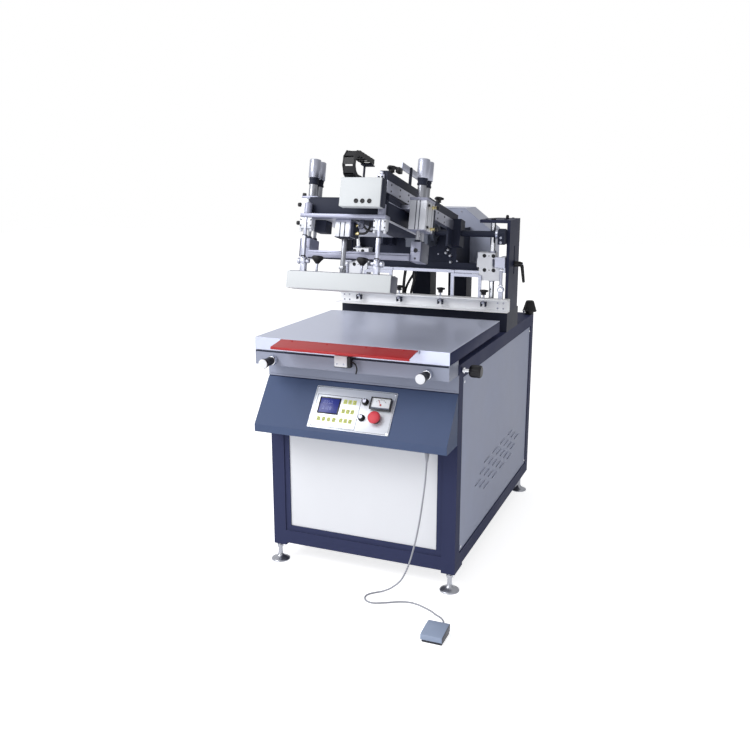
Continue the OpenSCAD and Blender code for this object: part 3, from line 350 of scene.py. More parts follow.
def ramp(tree, value, low, high):
    """(value - low) / (high - low), held between 0 and 1."""
    return wired(tree, "ShaderNodeMapRange",
        {"Value": value, "From Min": low, "From Max": high}).outputs[0]

def noise(tree, where, scale, detail, rough=0.5):
    """The value of a noise that repeats about scale times a metre."""
    sockets = {"Vector": where, "Scale": scale, "Detail": detail, "Roughness": rough}
    return wired(tree, "ShaderNodeTexNoise", sockets).outputs[0]

def blend(tree, share, a, b):
    """The colour a (1 - share) + b share."""
    return wired(tree, "ShaderNodeMix", {0: share, 6: a, 7: b}, data_type="RGBA").outputs[2]

# %% Worn and rounded edges
# mask = smooth step of (1 - bevelled normal . normal) times patches of noise; the bevelled
# normal itself is given out too, so that a machined edge catches the light.
worn, inside, outside = effect("worn_edges",
    [("Vector", "Vector"), ("Radius", "Float", 0.001), ("Wear", "Float", 0.3)],
    [("Mask", "Float"), ("Normal", "Vector")])
bevelled = wired(worn, "ShaderNodeBevel", {"Radius": inside.outputs["Radius"]}, samples=4)
surface = wired(worn, "ShaderNodeNewGeometry", {})
agree = wired(worn, "ShaderNodeVectorMath", {0: bevelled.outputs[0], 1: surface.outputs["Normal"]},
    operation="DOT_PRODUCT")
corner = ramp(worn, agree.outputs["Value"], 0.985, 0.8)
patches = ramp(worn, noise(worn, inside.outputs["Vector"], 55.0, 4.0), 0.45, 0.66)
rubbed = maths(worn, "MULTIPLY", corner, patches)
worn.links.new(maths(worn, "MULTIPLY", rubbed, inside.outputs["Wear"], True), outside.inputs["Mask"])
worn.links.new(bevelled.outputs[0], outside.inputs["Normal"])

# %% Grain and blotches
# Height is fine noise at a size in metres; Blotch is a broad cloud from 0 to 1.
grain, inside, outside = effect("grain",
    [("Vector", "Vector"), ("Size", "Float", 0.001), ("Stretch", "Vector", (1, 1, 1))],
    [("Height", "Float"), ("Blotch", "Float")])
scale = maths(grain, "DIVIDE", 1.0, inside.outputs["Size"])
drawn = wired(grain, "ShaderNodeVectorMath",
    {0: inside.outputs["Vector"], 1: inside.outputs["Stretch"]}, operation="MULTIPLY")
cloud = noise(grain, inside.outputs["Vector"], 4.5, 5.0, 0.55)
grain.links.new(noise(grain, drawn.outputs[0], scale, 3.0, 0.6), outside.inputs["Height"])
grain.links.new(ramp(grain, cloud, 0.3, 0.7), outside.inputs["Blotch"])

# %% Dust on upward faces
# mask = amount times the face's upward share times patches of noise.
dust, inside, outside = effect("workshop_dust", [("Vector", "Vector"), ("Amount", "Float", 0.2)],
    [("Mask", "Float")])
surface = wired(dust, "ShaderNodeNewGeometry", {})
split = wired(dust, "ShaderNodeSeparateXYZ", {0: surface.outputs["Normal"]})
up = ramp(dust, split.outputs[2], 0.35, 1.0)
specks = ramp(dust, noise(dust, inside.outputs["Vector"], 26.0, 6.0, 0.7), 0.4, 0.75)
lying = maths(dust, "MULTIPLY", up, specks)
dust.links.new(maths(dust, "MULTIPLY", lying, inside.outputs["Amount"], True), outside.inputs["Mask"])
print("groups:", [g.name for g in bpy.data.node_groups])

# %% [markdown]
# ## Finishes
# Colours are written as a screen shows them, from 0 to 255, and turned into the linear light
# that a shader works with. A finish is one Principled shader: its colour drifts a little from
# place to place, its worn edges show what lies under the paint, dust dulls what faces up, and
# a bump from the grain breaks up the gloss. For brushed metal the grain is drawn out along the
# way the metal was ground.

# %% Colour and finish
DUST = (186, 184, 180)

def screen(*rgb):
    """Linear light from screen values: ((v/255 + 0.055) / 1.055) ** 2.4, v/255/12.92 in the dark."""
    v = np.array(rgb, float) / 255
    return tuple(np.where(v > 0.04045, ((v + 0.055) / 1.055) ** 2.4, v / 12.92)) + (1.0,)

def finish(name, colour, rough, metallic=0.0, coat=0.0, wear=0.25, under=(150, 152, 160), edge=1.0,
        grain_mm=1.2, depth=0.03, dusty=0.03, stretch=(1, 1, 1), drift=0.06, specular=0.4):
    """A material; edge, grain_mm and depth are in mm, drift, wear and dusty are shares."""
    material = bpy.data.materials.new(name)
    material.use_nodes = True
    tree = material.node_tree
    shader = tree.nodes["Principled BSDF"]
    place = wired(tree, "ShaderNodeTexCoord", {}).outputs["Object"]

    def placed(group, **sockets):
        """One effect, laid out in the object's own coordinates."""
        return wired(tree, "ShaderNodeGroup", {"Vector": place, **sockets}, node_tree=group)

    edges = placed(worn, Radius=edge * MM, Wear=wear)
    texture = placed(grain, Size=grain_mm * MM, Stretch=stretch)
    settled = placed(dust, Amount=max(dusty, 0.001))
    base = np.array(screen(*colour))
    low, high = base * (1 - drift), np.minimum(base * (1 + drift), 1)
    low[3] = high[3] = 1
    mixed = blend(tree, texture.outputs["Blotch"], tuple(low), tuple(high))
    bare = blend(tree, edges.outputs["Mask"], mixed, screen(*under))
    veil = maths(tree, "MULTIPLY", settled.outputs["Mask"], min(dusty * 20, 1.0))
    tree.links.new(blend(tree, veil, bare, screen(*DUST)), shader.inputs["Base Color"])
    cloudy = maths(tree, "MULTIPLY", texture.outputs["Blotch"], 2 * drift)
    cloudy = maths(tree, "ADD", cloudy, rough - drift)
    gritty = maths(tree, "MULTIPLY", veil, 0.5)
    tree.links.new(maths(tree, "ADD", gritty, cloudy, True), shader.inputs["Roughness"])
    relief = {"Strength": 1.0, "Distance": depth * MM, "Height": texture.outputs["Height"],
              "Normal": edges.outputs["Normal"]}
    tree.links.new(wired(tree, "ShaderNodeBump", relief).outputs[0], shader.inputs["Normal"])
    for socket, value in (("Metallic", metallic), ("Coat Weight", coat),
            ("Specular IOR Level", specular)):
        shader.inputs[socket].default_value = value
    return material

# %% The machine's finishes
frame_blue = finish("frame_blue", (54, 59, 90), 0.62, dusty=0.0, specular=0.1, grain_mm=1.6, depth=0.05,
    wear=0.35, under=(128, 132, 150))
console_blue = finish("console_blue", (76, 90, 122), 0.55, dusty=0.0, specular=0.15, grain_mm=1.6,
    depth=0.05, wear=0.35, under=(140, 146, 165))
panel_lavender = finish("panel_lavender", (182, 189, 213), 0.55, specular=0.2, grain_mm=2.2, depth=0.06,
    wear=0.2, under=(205, 208, 216))
gloss_white = finish("gloss_white", (232, 234, 240), 0.34, coat=0.1, grain_mm=2.5, depth=0.02, wear=0.1,
    drift=0.01, dusty=0.0, under=(170, 172, 178))
apron_grey = finish("apron_grey", (150, 156, 176), 0.42, specular=0.25, grain_mm=2.0, depth=0.04,
    wear=0.2, under=(205, 208, 216))
satin_plate = finish("satin_plate", (214, 219, 228), 0.32, metallic=0.35, grain_mm=0.5, depth=0.01,
    stretch=(0.05, 1, 1), wear=0.1, drift=0.04)
moulded_black = finish("moulded_black", (24, 24, 29), 0.45, dusty=0.0, specular=0.3, grain_mm=0.7,
    depth=0.05, wear=0.3, under=(74, 74, 80), edge=0.7)
needle_red = finish("needle_red", (176, 34, 34), 0.4, wear=0.0, grain_mm=0.5, depth=0.01)
stop_red = finish("stop_red", (204, 66, 78), 0.5, grain_mm=1.5, depth=0.01, wear=0.1, dusty=0.0,
    under=(150, 40, 44))
cord_sheath = finish("cord_sheath", (158, 160, 170), 0.5, grain_mm=0.5, depth=0.03, wear=0.0,
    dusty=0.05)
pedal_grey = finish("pedal_grey", (152, 166, 192), 0.42, grain_mm=1.0, depth=0.05, wear=0.3,
    under=(190, 198, 212))
pedal_black = finish("pedal_black", (44, 46, 56), 0.5, grain_mm=0.9, depth=0.08, wear=0.3,
    under=(86, 88, 98))
ground_alloy = finish("ground_alloy", (200, 206, 228), 0.3, metallic=0.45, grain_mm=3.0, depth=0.0002,
    stretch=(0.2, 1, 1), wear=0.2, under=(226, 228, 234), drift=0.008, dusty=0.0)
machined_steel = finish("machined_steel", (150, 152, 160), 0.35, metallic=0.9, grain_mm=0.5, depth=0.01,
    stretch=(1, 0.03, 1), wear=0.2)
bar_red = finish("bar_red", (168, 34, 38), 0.42, coat=0.1, grain_mm=2.0, depth=0.02, wear=0.25,
    under=(120, 30, 32), dusty=0.0, specular=0.3)
dark_enamel = finish("dark_enamel", (40, 44, 60), 0.55, grain_mm=1.4, depth=0.04, wear=0.25,
    under=(92, 96, 112), dusty=0.0, specular=0.15)
polished_chrome = finish("polished_chrome", (214, 216, 222), 0.12, metallic=1.0, grain_mm=0.4,
    depth=0.002, wear=0.0, drift=0.04, dusty=0.03)
satin_silver = finish("satin_silver", (172, 175, 190), 0.33, metallic=0.8, grain_mm=0.4, depth=0.006,
    stretch=(1, 0.04, 1), wear=0.3, under=(224, 226, 232), drift=0.08, dusty=0.05)
hood_lavender = finish("hood_lavender", (176, 182, 204), 0.34, metallic=0.1, grain_mm=1.8, depth=0.04,
    wear=0.2, under=(214, 217, 226))
motor_grey = finish("motor_grey", (92, 97, 110), 0.5, grain_mm=1.6, depth=0.16, wear=0.3,
    under=(140, 143, 152))
column_slate = finish("column_slate", (44, 48, 70), 0.55, grain_mm=1.4, depth=0.04, wear=0.25,
    under=(110, 114, 130), dusty=0.0, specular=0.12)
# The frame holder gets a brighter copy of the white paint: painted light that lifts the shade inside
# its channel.
holder_painted_light_white = finish("holder_painted_light_white", (248, 249, 252), 0.34, grain_mm=2.5, depth=0.02, wear=0.1,
    drift=0.005, dusty=0.0, under=(180, 182, 188))
cabinet_grey = finish("cabinet_grey", (118, 124, 130), 0.45, grain_mm=1.6, depth=0.05)
finish_of = {"frame_paint": frame_blue, "console_paint": console_blue, "panel_paint": panel_lavender,
    "white_paint": gloss_white, "apron_paint": apron_grey, "plate": satin_plate, "display": satin_plate,
    "black_plastic": moulded_black, "needle": needle_red, "stop_red": stop_red,
    "cord_grey": cord_sheath, "pedal_grey": pedal_grey, "pedal_dark": pedal_black,
    "table_alloy": ground_alloy, "machined_steel": machined_steel, "bar_red": bar_red,
    "dark_paint": dark_enamel, "chrome": polished_chrome, "silver": satin_silver,
    "hood_paint": hood_lavender, "motor_paint": motor_grey, "equipment": cabinet_grey}
special = {"columns": column_slate, "frame_holder": holder_painted_light_white}
for part in frame["record"]["subparts"]:
    look = special.get(part["node"], finish_of[part["material_slot"]])
    nodes[part["node"]].data.materials.clear()
    nodes[part["node"]].data.materials.append(look)
print("finishes:", len(finish_of))

# %% [markdown]
# ## Foot switch cord
# A grey two-core cord about 6 mm thick hangs from a gland under the console, lies on the floor
# in one loose curve and ends in the foot switch. It could be a curve with a bevel, but a ring
# carried along the route keeps its thickness exact at every bend. The whole cord is in view, so
# its length is the route's own. No point of it may sink below the floor it lies on.

# %% Cord
GLAND = (262, -610)
CORD_RADIUS, LYING = 3.0, 3.1
route = [[*GLAND, 501.5], [262, -611, 488], [260, -618, 420], [254, -626, 345], [246, -634, 270],
    [234, -642, 195], [216, -650, 120], [192, -655, 62], [160, -658, 28], [130, -662, 10],
    [104, -672, 3.5], [84, -694, 3.2], [82, -718, 3.2], [96, -738, 3.2], [122, -744, 3.2],
    [158, -728, 3.2], [196, -706, 3.2], [230, -694, 3.2], [262, -696, 3.2], [294, -708, 3.2],
    [322, -722, 3.2], [344, -738, 3.2], [364, -750, 3.2], [379, -768, 4.2], [386, -788, 6.5],
    [387, -808, 9], [386, -824, 10], [386, -834, 10]]
cord_path = smooth_path(route)
cord_path[:, 2] = np.maximum(cord_path[:, 2], LYING)
cord = base_piece("foot_switch_cord", tube(cord_path, CORD_RADIUS, 12), "cord_grey",
    replaces="foot_cord")

# %% [markdown]
# The cord leaves the console through a gland: a hexagonal nut, a dome that grips the sheath and a
# ribbed sleeve that keeps it from kinking. A lathe profile with small steps gives the ribs. The
# foot switch has the same kind of sleeve, shorter.

# %% Gland and sleeves
sleeve_grey = finish("sleeve_grey", (168, 170, 180), 0.45, grain_mm=0.6, depth=0.03, wear=0.1)
nut = bar(hexagon(11), 513.5, 525.5, 0.8)
dome = lathe([(5, 525.5), (8.6, 526), (9, 528.5), (8.4, 532), (8, 536)], 32)
base_piece("gland_nut", moved(joined(nut, dome), *GLAND, 0), "black_plastic", replaces="cord_gland")

def ribbed(count, thin, wider, rib):
    """Radii of a sleeve that grows from thin by wider: thin + wider i/(n-1) + rib cos(pi i)."""
    return thin + wider * np.linspace(0, 1, count) + rib * np.cos(np.arange(count) * np.pi)

profile = np.stack([ribbed(15, 4.0, 4.6, 0.45), 482.5 + 32 * np.linspace(0, 1, 15)], -1)
top_sleeve = base_piece("gland_sleeve", moved(lathe(profile, 24), 262, -610.6, 0), "cord_grey",
    sleeve_grey)
tail = cord_path[-10:-1]
pedal_sleeve = base_piece("pedal_sleeve", tube(tail, ribbed(len(tail), 3.7, 2.6, 0.35), 16),
    "cord_grey", sleeve_grey)
loose(cord, on_machine, cord_path, 0.006, far_end="tool", stiffness="medium", lay="loose",
      with_pieces=[top_sleeve, pedal_sleeve, "pedal_base", "pedal_treadle"])

# %% [markdown]
# ## Console
# The control plate is a printed sheet of satin aluminium held by four screws. Its lines are
# printed, so they are drawn as strips a twentieth of a millimetre high, and its keys are soft
# pads under the foil, slightly crowned. The place of the maker's line at the top stays bare.

# %% Control plate
def rectangle(x0, y0, x1, y1):
    """Four corners, run round to the left."""
    return np.array([[x0, y0], [x1, y0], [x1, y1], [x0, y1]], float)

def border(x0, y0, x1, y1, w):
    """The four rectangles of a frame w wide; its lower and upper bars run through."""
    return [(x0, y0, x1, y0 + w), (x0, y1 - w, x1, y1),
            (x0, y0 + w, x0 + w, y1 - w), (x1 - w, y0 + w, x1, y1 - w)]

console_piece("control_plate", bar(round_outline(-152, 13, 147, 168, 4), 0, 3, 0.5), "plate",
    replaces="console_plate")

def frame_strip(x0, y0, x1, y1, w=1.8, low=3.0, high=3.06):
    """Four thin printed strips round a rectangle."""
    return joined(*[bar(rectangle(*sides), low, high, 0.01, 1) for sides in border(x0, y0, x1, y1, w)])

ink_grey = finish("ink_grey", (64, 70, 88), 0.5, grain_mm=0.4, depth=0.005, wear=0.0)
lines = [frame_strip(-141, 19, 24, 137), frame_strip(-149, 16, 144, 165, 1.2)]
console_piece("plate_lines", lines, "plate", ink_grey)
corners = [(x, y, 3) for x in (-146, 141) for y in (19, 162)]
head = lathe([(1.2, 0.7), (1.5, 0.7), (1.5, 1.5), (3.2, 1.5), (3.8, 1.0), (4.0, 0), (2.0, 0)][::-1], 16)
console_piece("plate_screws", copies(head, corners), "chrome")

# %% [markdown]
# The display is a liquid crystal window with a dark blue ground, set in a black rim. The rim is a
# frame carried up from the plate, and the window lies a little below its top. Its figures are
# plain numbers made from seven bars each, as such displays have them.

# %% Display
glass = {"grain_mm": 0.6, "depth": 0.002, "wear": 0.0, "dusty": 0.0}
display_blue = finish("display_blue", (50, 60, 138), 0.25, drift=0.04, specular=0.3, **glass)
display_pale = finish("display_pale", (118, 132, 204), 0.2, **glass)
rim_black = finish("rim_black", (20, 21, 26), 0.3, coat=0.2, grain_mm=0.6, depth=0.01, wear=0.1,
    dusty=0.03)
x0, y0, x1, y1 = -128, 66, -50, 127
rim = [block((a, b, 3), (c, d, 6), 0.5) for a, b, c, d in border(x0, y0, x1, y1, 4)]
console_piece("display_rim", rim, "display", rim_black, replaces="display_unit")
console_piece("display_window", bar(round_outline(x0 + 3, y0 + 3, x1 - 3, y1 - 3, 1), 3, 4.6, 0.2),
    "display", display_blue)
bars = {"a": (0, 10, 5, 0.9), "b": (5, 5, 0.9, 5), "c": (5, 0, 0.9, 5), "d": (0, 0, 5, 0.9),
        "e": (0, 0, 0.9, 5), "f": (0, 5, 0.9, 5), "g": (0, 5, 5, 0.9)}
digits = {"0": "abcdef", "1": "bc", "2": "abged", "3": "abgcd", "5": "afgcd", "8": "abcdefg"}

def figures(text, x, y):
    """Seven-bar figures, each 5.9 mm wide and 10.9 mm high, 9 mm apart."""
    strokes = [(x + 9 * i, *bars[s]) for i, c in enumerate(text) for s in digits[c]]
    return joined(*[bar(rectangle(a + dx, y + dy, a + dx + w, y + dy + h), 4.6, 4.66, 0.01, 1)
                    for a, dx, dy, w, h in strokes])

console_piece("display_figures", [figures("0350", -112, 104), figures("0128", -112, 82)], "display",
    display_pale)

# %% Keys
key_lime = finish("key_lime", (206, 214, 118), 0.42, grain_mm=0.6, depth=0.01, wear=0.05, dusty=0.04)
places = [(x, y, 0) for y in (117, 82, 48) for x in (-33, -16, 1)]
places += [(x, 47, 0) for x in (-116, -97, -78, -59)]
pad = bar(round_outline(-6.5, -8, 6.5, 8, 2.2), 3, 4.2, 0.9, 3)
console_piece("soft_keys", copies(pad, places), "display", key_lime)
mark = frame_strip(-3.2, -4.2, 3.2, 4.2, 1.1, 4.2, 4.26)
console_piece("key_marks", copies(mark, places), "display", ink_grey)

# %% [markdown]
# ## Meter
# A moving-coil meter: a black case with a thin raised rim round a white card. Graduations are
# printed on the card along an arc around the needle's pin, every fifth one longer, and a grey
# lower part hides the coil. The needle itself is the CAD node.

# %% Meter scale
METER = (99, 119)
card = {"grain_mm": 0.5, "depth": 0.004, "wear": 0.0, "dusty": 0.0}
shade_blue = finish("shade_blue", (96, 104, 124), 0.4, **card)
card_white = finish("card_white", (226, 230, 236), 0.4, drift=0.02, **card)

def around(half, low, high, r):
    """A rounded outline about the meter's middle, half wide to each side and from low to high."""
    return round_outline(METER[0] - half, METER[1] + low, METER[0] + half, METER[1] + high, r)

rails = ((-37, -22, 37, -19), (-37, 19.5, 37, 22), (-37, -20, -34, 20), (34, -20, 37, 20))
rim = [moved(block((x0, y0, 12), (x1, y1, 19), 0.7), *METER, 0) for x0, y0, x1, y1 in rails]
console_piece("meter_case", [bar(around(37, -22, 22, 3), 3, 12.6, 0.8)] + rim, "black_plastic",
    rim_black, replaces="meter_body")
console_piece("meter_card", bar(around(34.2, -14, 19.7, 1.5), 12.6, 13.2, 0.1), "black_plastic",
    card_white)
console_piece("meter_foot", bar(around(34.2, -19.4, -13.8, 0.5), 12.6, 15, 0.3), "black_plastic",
    shade_blue)
angles = np.radians(np.linspace(148, 32, 21))

def tick(i, a):
    """One graduation: a strip from radius 18 to 20.5 mm, or to 22 for every fifth, at its angle."""
    u, v = np.array([math.cos(a), math.sin(a)]), np.array([-math.sin(a), math.cos(a)])
    r0, r1, w = 18.0, 22.0 if i % 5 == 0 else 20.5, 0.45 if i % 5 == 0 else 0.25
    corners = np.array([r0 * u - w * v, r1 * u - w * v, r1 * u + w * v, r0 * u + w * v])
    return moved(bar(corners, 13.2, 13.26, 0.01, 1), METER[0], METER[1] - 4.0, 0)

console_piece("meter_graduations", [tick(i, a) for i, a in enumerate(angles)], "black_plastic",
    rim_black)

# %% [markdown]
# ## Turning knobs and stop button
# Each speed knob is a black fluted cap with a turned silver disc on its front. Flutes are a
# ripple in the radius of a turned profile. The stop button is a mushroom: a wide red cap on a
# black collar, its rim rounded where the palm strikes it.

# %% Speed knobs and stop button
KNOB_X = 40
STOP = (91, 66)
skirt = lathe([(10, 3.4), (12, 3.6), (12, 6.5), (11, 7.4), (9.5, 7.6)], 48)
grip = lathe([(9, 7.4), (9.3, 8.4), (9.1, 17.4), (8.3, 18.6), (7, 19.0)], 72, 0.035, 18)
disc = lathe([(6.9, 18.6), (7.2, 19.2), (6.9, 19.7), (6.2, 19.8), (5.9, 19.5), (0.4, 19.5)], 40)
for name, y in (("upper", 123), ("lower", 65)):
    body = name + "_dial"
    piece("knob_grip_" + name, moved(joined(skirt, grip), KNOB_X, y, 0), on_slope, body,
        "black_plastic", replaces="speed_knob_" + name)
    line = block((KNOB_X - 0.5, y + 1, 19.4), (KNOB_X + 0.5, y + 6.6, 19.8), 0.1)
    piece("knob_disc_" + name, moved(disc, KNOB_X, y, 0), on_slope, body, "silver")
    piece("knob_line_" + name, line, on_slope, body, "black_plastic", rim_black)
cap = lathe([(10.8, 9), (10.9, 21), (20.4, 21.2), (21.7, 22.4), (22, 24), (21.4, 26.4), (19.4, 28.8),
    (15.4, 30.9), (8.8, 32.0), (0.5, 32.3)], 64)
piece("stop_cap", moved(cap, *STOP, 0), on_slope, "stop", "stop_red", replaces="stop_button")

# %% [markdown]
# ## Table adjusting knobs
# Two grips stand out of the apron and one out of the side. Each moves the table a little on its
# slides. A grip is a turned core with flutes for the fingers, a white end cap, and a polished
# collar against the sheet metal. The flutes are the same ripple as on the speed knobs, but
# deeper and fewer.

# %% Front and side knobs
for name, x in (("left", -279), ("right", 279)):
    body, node = "front_knob_" + name, "front_adjust_knob_" + name
    shaft = rod(6, -701, -617, 0.5)
    grip = lathe([(12, -682), (14, -684), (14.4, -690), (13.6, -700), (14.0, -712), (15.6, -722),
        (16.8, -729), (16.9, -733), (15.6, -735)][::-1], 60, 0.02, 10)
    cap = lathe([(15.4, -734.4), (16.2, -735.2), (16.4, -736.6), (15.2, -737.6), (8, -738.0),
        (1, -738.0)][::-1], 48)
    collar = lathe([(16.6, -661.6), (17, -662.4), (17, -676), (15.6, -680.6), (12.4, -681.4)][::-1], 48)
    put = lambda shape: moved(flipped((shape[0][:, [0, 2, 1]], shape[1])), x, 0, 795)
    piece(node + "_grip", put(grip), on_machine, body, "black_plastic", replaces=node)
    piece(node + "_cap", put(cap), on_machine, body, "white_paint")
    piece(node + "_collar", [put(collar), put(shaft)], on_machine, body, "chrome")
lift = lambda shape: moved(turned_to(shape, "x"), 352.5, -535, 787)
grip = lathe([(15, 28), (18.5, 31), (20.6, 35), (21, 40), (21, 60), (20, 65), (17, 67.6), (12, 68)], 96,
    0.025, 12)
piece("side_adjust_knob_grip", lift(grip), on_machine, "side_knob", "black_plastic",
    replaces="side_adjust_knob")
piece("side_adjust_knob_shaft", [lift(rod(6, -95, 29)), lift(rod(10, 0.5, 10, 0.8, 32))], on_machine,
    "side_knob", "chrome")

# %% Painted shade on the table's right side, and a painted shadow line above the apron
# A dark band on the table's right side is painted shade.
table_piece("table_edge_band", block((350.2, -659, 827), (350.8, -40, 868), 0.2), "dark_paint",
    frame_blue)
# A dark strip along the top of the apron is a painted shadow of the gap under the table's edge.
base_piece("apron_seam", block((-347.5, -661.7, 820), (347.5, -661, 825.2), 0.2), "dark_paint")

# %% [markdown]
# ## Safety bar and its switch
# The red bar is a strip of 2.5 mm sheet folded down along its front edge and hinged on the
# table's front. A hand under it tips it up against the switch. The sheet is one outline of its
# section, with round folds, carried along x. The switch is a white housing with a dark end plate
# and two screws, and its lead goes down into the apron.

# %% Safety bar
def section(points, t):
    """A strip of thickness t: the centre line moved t/2 to each side, joined to a loop."""
    p = np.array(points, float)
    d = np.gradient(p, axis=0)
    n = np.stack([-d[:, 1], d[:, 0]], -1) / np.linalg.norm(d, axis=1)[:, None] * t / 2
    return np.concatenate([p - n, (p + n)[::-1]])

# X runs along the hinge; the bar is tipped so that its front edge hangs lower.
HINGE_Y, HINGE_Z, TIPPED = -664, 867, math.radians(8)
on_bar = turned_at(HINGE_Y, HINGE_Z, TIPPED)
bend = 1.8
fold = [(-77 - bend * math.sin(t), -0.55 + bend * math.cos(t)) for t in np.linspace(0, np.pi / 2, 6)]
strip = section([(0, 1.25), (-25, 1.25), (-50, 1.25)] + fold + [(-78.8, -5.9)], 2.4)
piece("safety_strip", [turned_to(bar(strip, -245, 245, 0.5), "x"), turned_to(rod(2.5, -245, 245), "x")],
    on_bar, "bar", "bar_red", replaces="safety_bar")
screws = lathe([(3.6, 0), (3.6, 1), (2.6, 1.9), (1.2, 2.1)], 16)
piece("safety_strip_rivets", copies(screws, [(x, -10, 2.4) for x in (-200, -70, 70, 200)]), on_bar,
    "bar", "bar_red")

# %% Switch, lugs and lead
front, back = -691, -670
table_piece("switch_housing", [block((-37, front, 798), (9, back, 836), 2.2),
    block((-28, back, 829), (12, -661, 836), 0.8)], "white_paint", replaces="safety_switch")
table_piece("switch_side", [block((9.2, front + 1, 797), (20.8, back, 834.6), 1.6),
    block((-37, front + 1, 796), (9, back, 798), 0.8)], "black_plastic")
table_piece("switch_plunger", moved(rod(4, 836, 861, 1.4), -8, front + 11, 0), "silver")
lug = block((0, -669, 859), (4, -661, 869.5), 0.8)
table_piece("bar_lugs", [moved(lug, -250, 0, 0), moved(lug, 246, 0, 0)], "silver")
socket = turned_to(lathe([(3.2, 0), (3.2, 0.5), (2.9, 0.8), (1.4, 0.8), (1.2, 0.2)], 20), "y")
socket = flipped((socket[0] * [1, -1, 1], socket[1]))
table_piece("switch_screws", copies(socket, [(x, front, 808) for x in (-27, -3)]), "silver")
lead_path = smooth_path([[20, -680, 815], [27, -680, 814], [34, -680, 809], [38.5, -679.5, 800],
    [38.5, -678, 790], [35.5, -676, 781], [34, -675, 776]], 5)
lead = table_piece("switch_lead", tube(lead_path, 2.6, 10), "black_plastic")
loose(lead, on_machine, lead_path, 0.0052, far_end="object", stiffness="medium", lay="hanging")

# %% [markdown]
# ## Levelling feet
# Four turned steel feet carry the cabinet. Each is a domed disc drawn up into a slim neck with a
# locknut under the leg. The lathe profile is closed on the floor and at the stud.

# %% Feet
foot_steel = finish("foot_steel", (168, 170, 178), 0.3, metallic=0.9, grain_mm=0.5, depth=0.004,
    wear=0.1, under=(205, 206, 212))
dome = [(33.5, 0), (35, 0.8), (35, 3.2), (34, 5), (30, 7.4), (24, 10), (17, 13.2), (12.4, 17),
    (9.4, 23), (8.3, 30), (8, 42)]
def foot(top):
    """One foot from the floor to top, with its locknut."""
    return joined(lathe(dome + [(8, top - 0.2)], 48), bar(hexagon(13), top - 13, top - 3, 1.0))

feet = [moved(foot(top), x, y, 0)
        for x in (-332.5, 332.5) for y, top in ((-553.5, 64), (491.5, 74))]
base_piece("foot_discs", feet, "chrome", foot_steel, replaces="levelling_feet")

# %% [markdown]
# ## Louvres and panel screws
# The side panels are vented by short pressed louvres. The slots are cut in the CAD node; what a
# press adds is the bead along the top of each one. One bead is a short tube that thins towards
# its ends, and it is copied to every slot of both panels.

# %% Louvre beads and panel screws
bead = tube([(0, -36, 0), (0, -34, 0.6), (0, 0, 0.7), (0, 34, 0.6), (0, 36, 0)],
    np.array([0.4, 1.0, 1.1, 1.0, 0.4]), 8)
ALONG, DOWN = 121, 26
places = [(352.2, 27 + (i - (n - 1) / 2) * ALONG, 303 + (2 - row) * DOWN + 4.4)
          for row, n in enumerate((4, 5, 6, 5, 4)) for i in range(n)]
screw = turned_to(lathe([(5, 0), (5, 1.0), (4.2, 1.9), (2.2, 2.0), (2.0, 1.2)], 20), "x")
screws = copies(screw, [(350.5, y, z) for y in (-493.5, 493.5) for z in (143, 739)])
base_piece("louvre_lips", both(copies(bead, places)), "panel_paint")
base_piece("panel_screws", both(screws), "chrome")

# %% [markdown]
# ## Foot switch
# A wedge of painted sheet steel over a black base, hinged at the back. The treadle's section is
# one bent outline carried across, its front lip and its shoulders rounded.

# %% Pedal
PEDAL = (386, -826, 0)
on_pedal = lambda p: on_machine(np.asarray(p, float) + PEDAL)

treadle = np.array([(-1, 10), (-83, 9), (-86, 11), (-86, 24), (-84, 27.5), (-79, 29.5), (-32, 35.5),
    (-8, 36), (-3, 34.5), (-1, 31)])
# The treadle's dark right side is partly its black base and partly painted shade.
pedal_side_painted_shade = finish("pedal_side_painted_shade", (66, 70, 84), 0.45, grain_mm=1.0, depth=0.05, wear=0.3,
    under=(120, 124, 136))
piece("pedal_tread", turned_to(bar(treadle[::-1], -36, 35.2, 1.4, 3), "x"), on_pedal, "treadle",
    "pedal_grey", replaces="pedal_treadle")
piece("pedal_side", turned_to(bar(mitred(treadle[::-1], 1.2), 35.2, 36, 0.3), "x"), on_pedal, "treadle",
    "pedal_dark", pedal_side_painted_shade)
piece("pedal_screw", moved(turned_to(cap_screw(3, 1.6), "x"), 36, -14, 22), on_pedal, "treadle",
    "silver")

# %% [markdown]
# ## Star knobs
# The same three-lobed knob clamps the printing frame and the travel sensors. It is moulded in
# black plastic on a threaded steel stud. Its outline is a circle whose radius swells
# three times round, carried a few millimetres and well rounded, and its neck is a turned foot.

# %% A star knob
def swelling(size, waves=3, depth=0.17, n=60):
    """Outline r(t) = size/2 (1 - depth + depth sin(waves t)): lobes at 30, 150 and 270 degrees."""
    t = np.linspace(0, 2 * np.pi, n, endpoint=False)
    r = size / 2 * (1 - depth + depth * np.sin(waves * t))
    return np.stack([r * np.cos(t), r * np.sin(t)], -1)

def star_top(size, rise=1.0):
    """The knob's plastic from z = 0: neck, lobed head from 0.29 to 0.50 of its size, low dome."""
    h = size * rise
    neck = lathe([(0.25, 0), (0.27, 0.02), (0.24, 0.12), (0.26, 0.22), (0.34, 0.33)], 32)
    dome = lathe([(0.33, 0.49), (0.31, 0.515), (0.2, 0.54), (0.06, 0.545)], 32)
    scaled = lambda shape: (shape[0] * [size, size, h], shape[1])
    return joined(scaled(neck), bar(swelling(size), 0.29 * h, 0.50 * h, 0.07 * size, 3), scaled(dome))

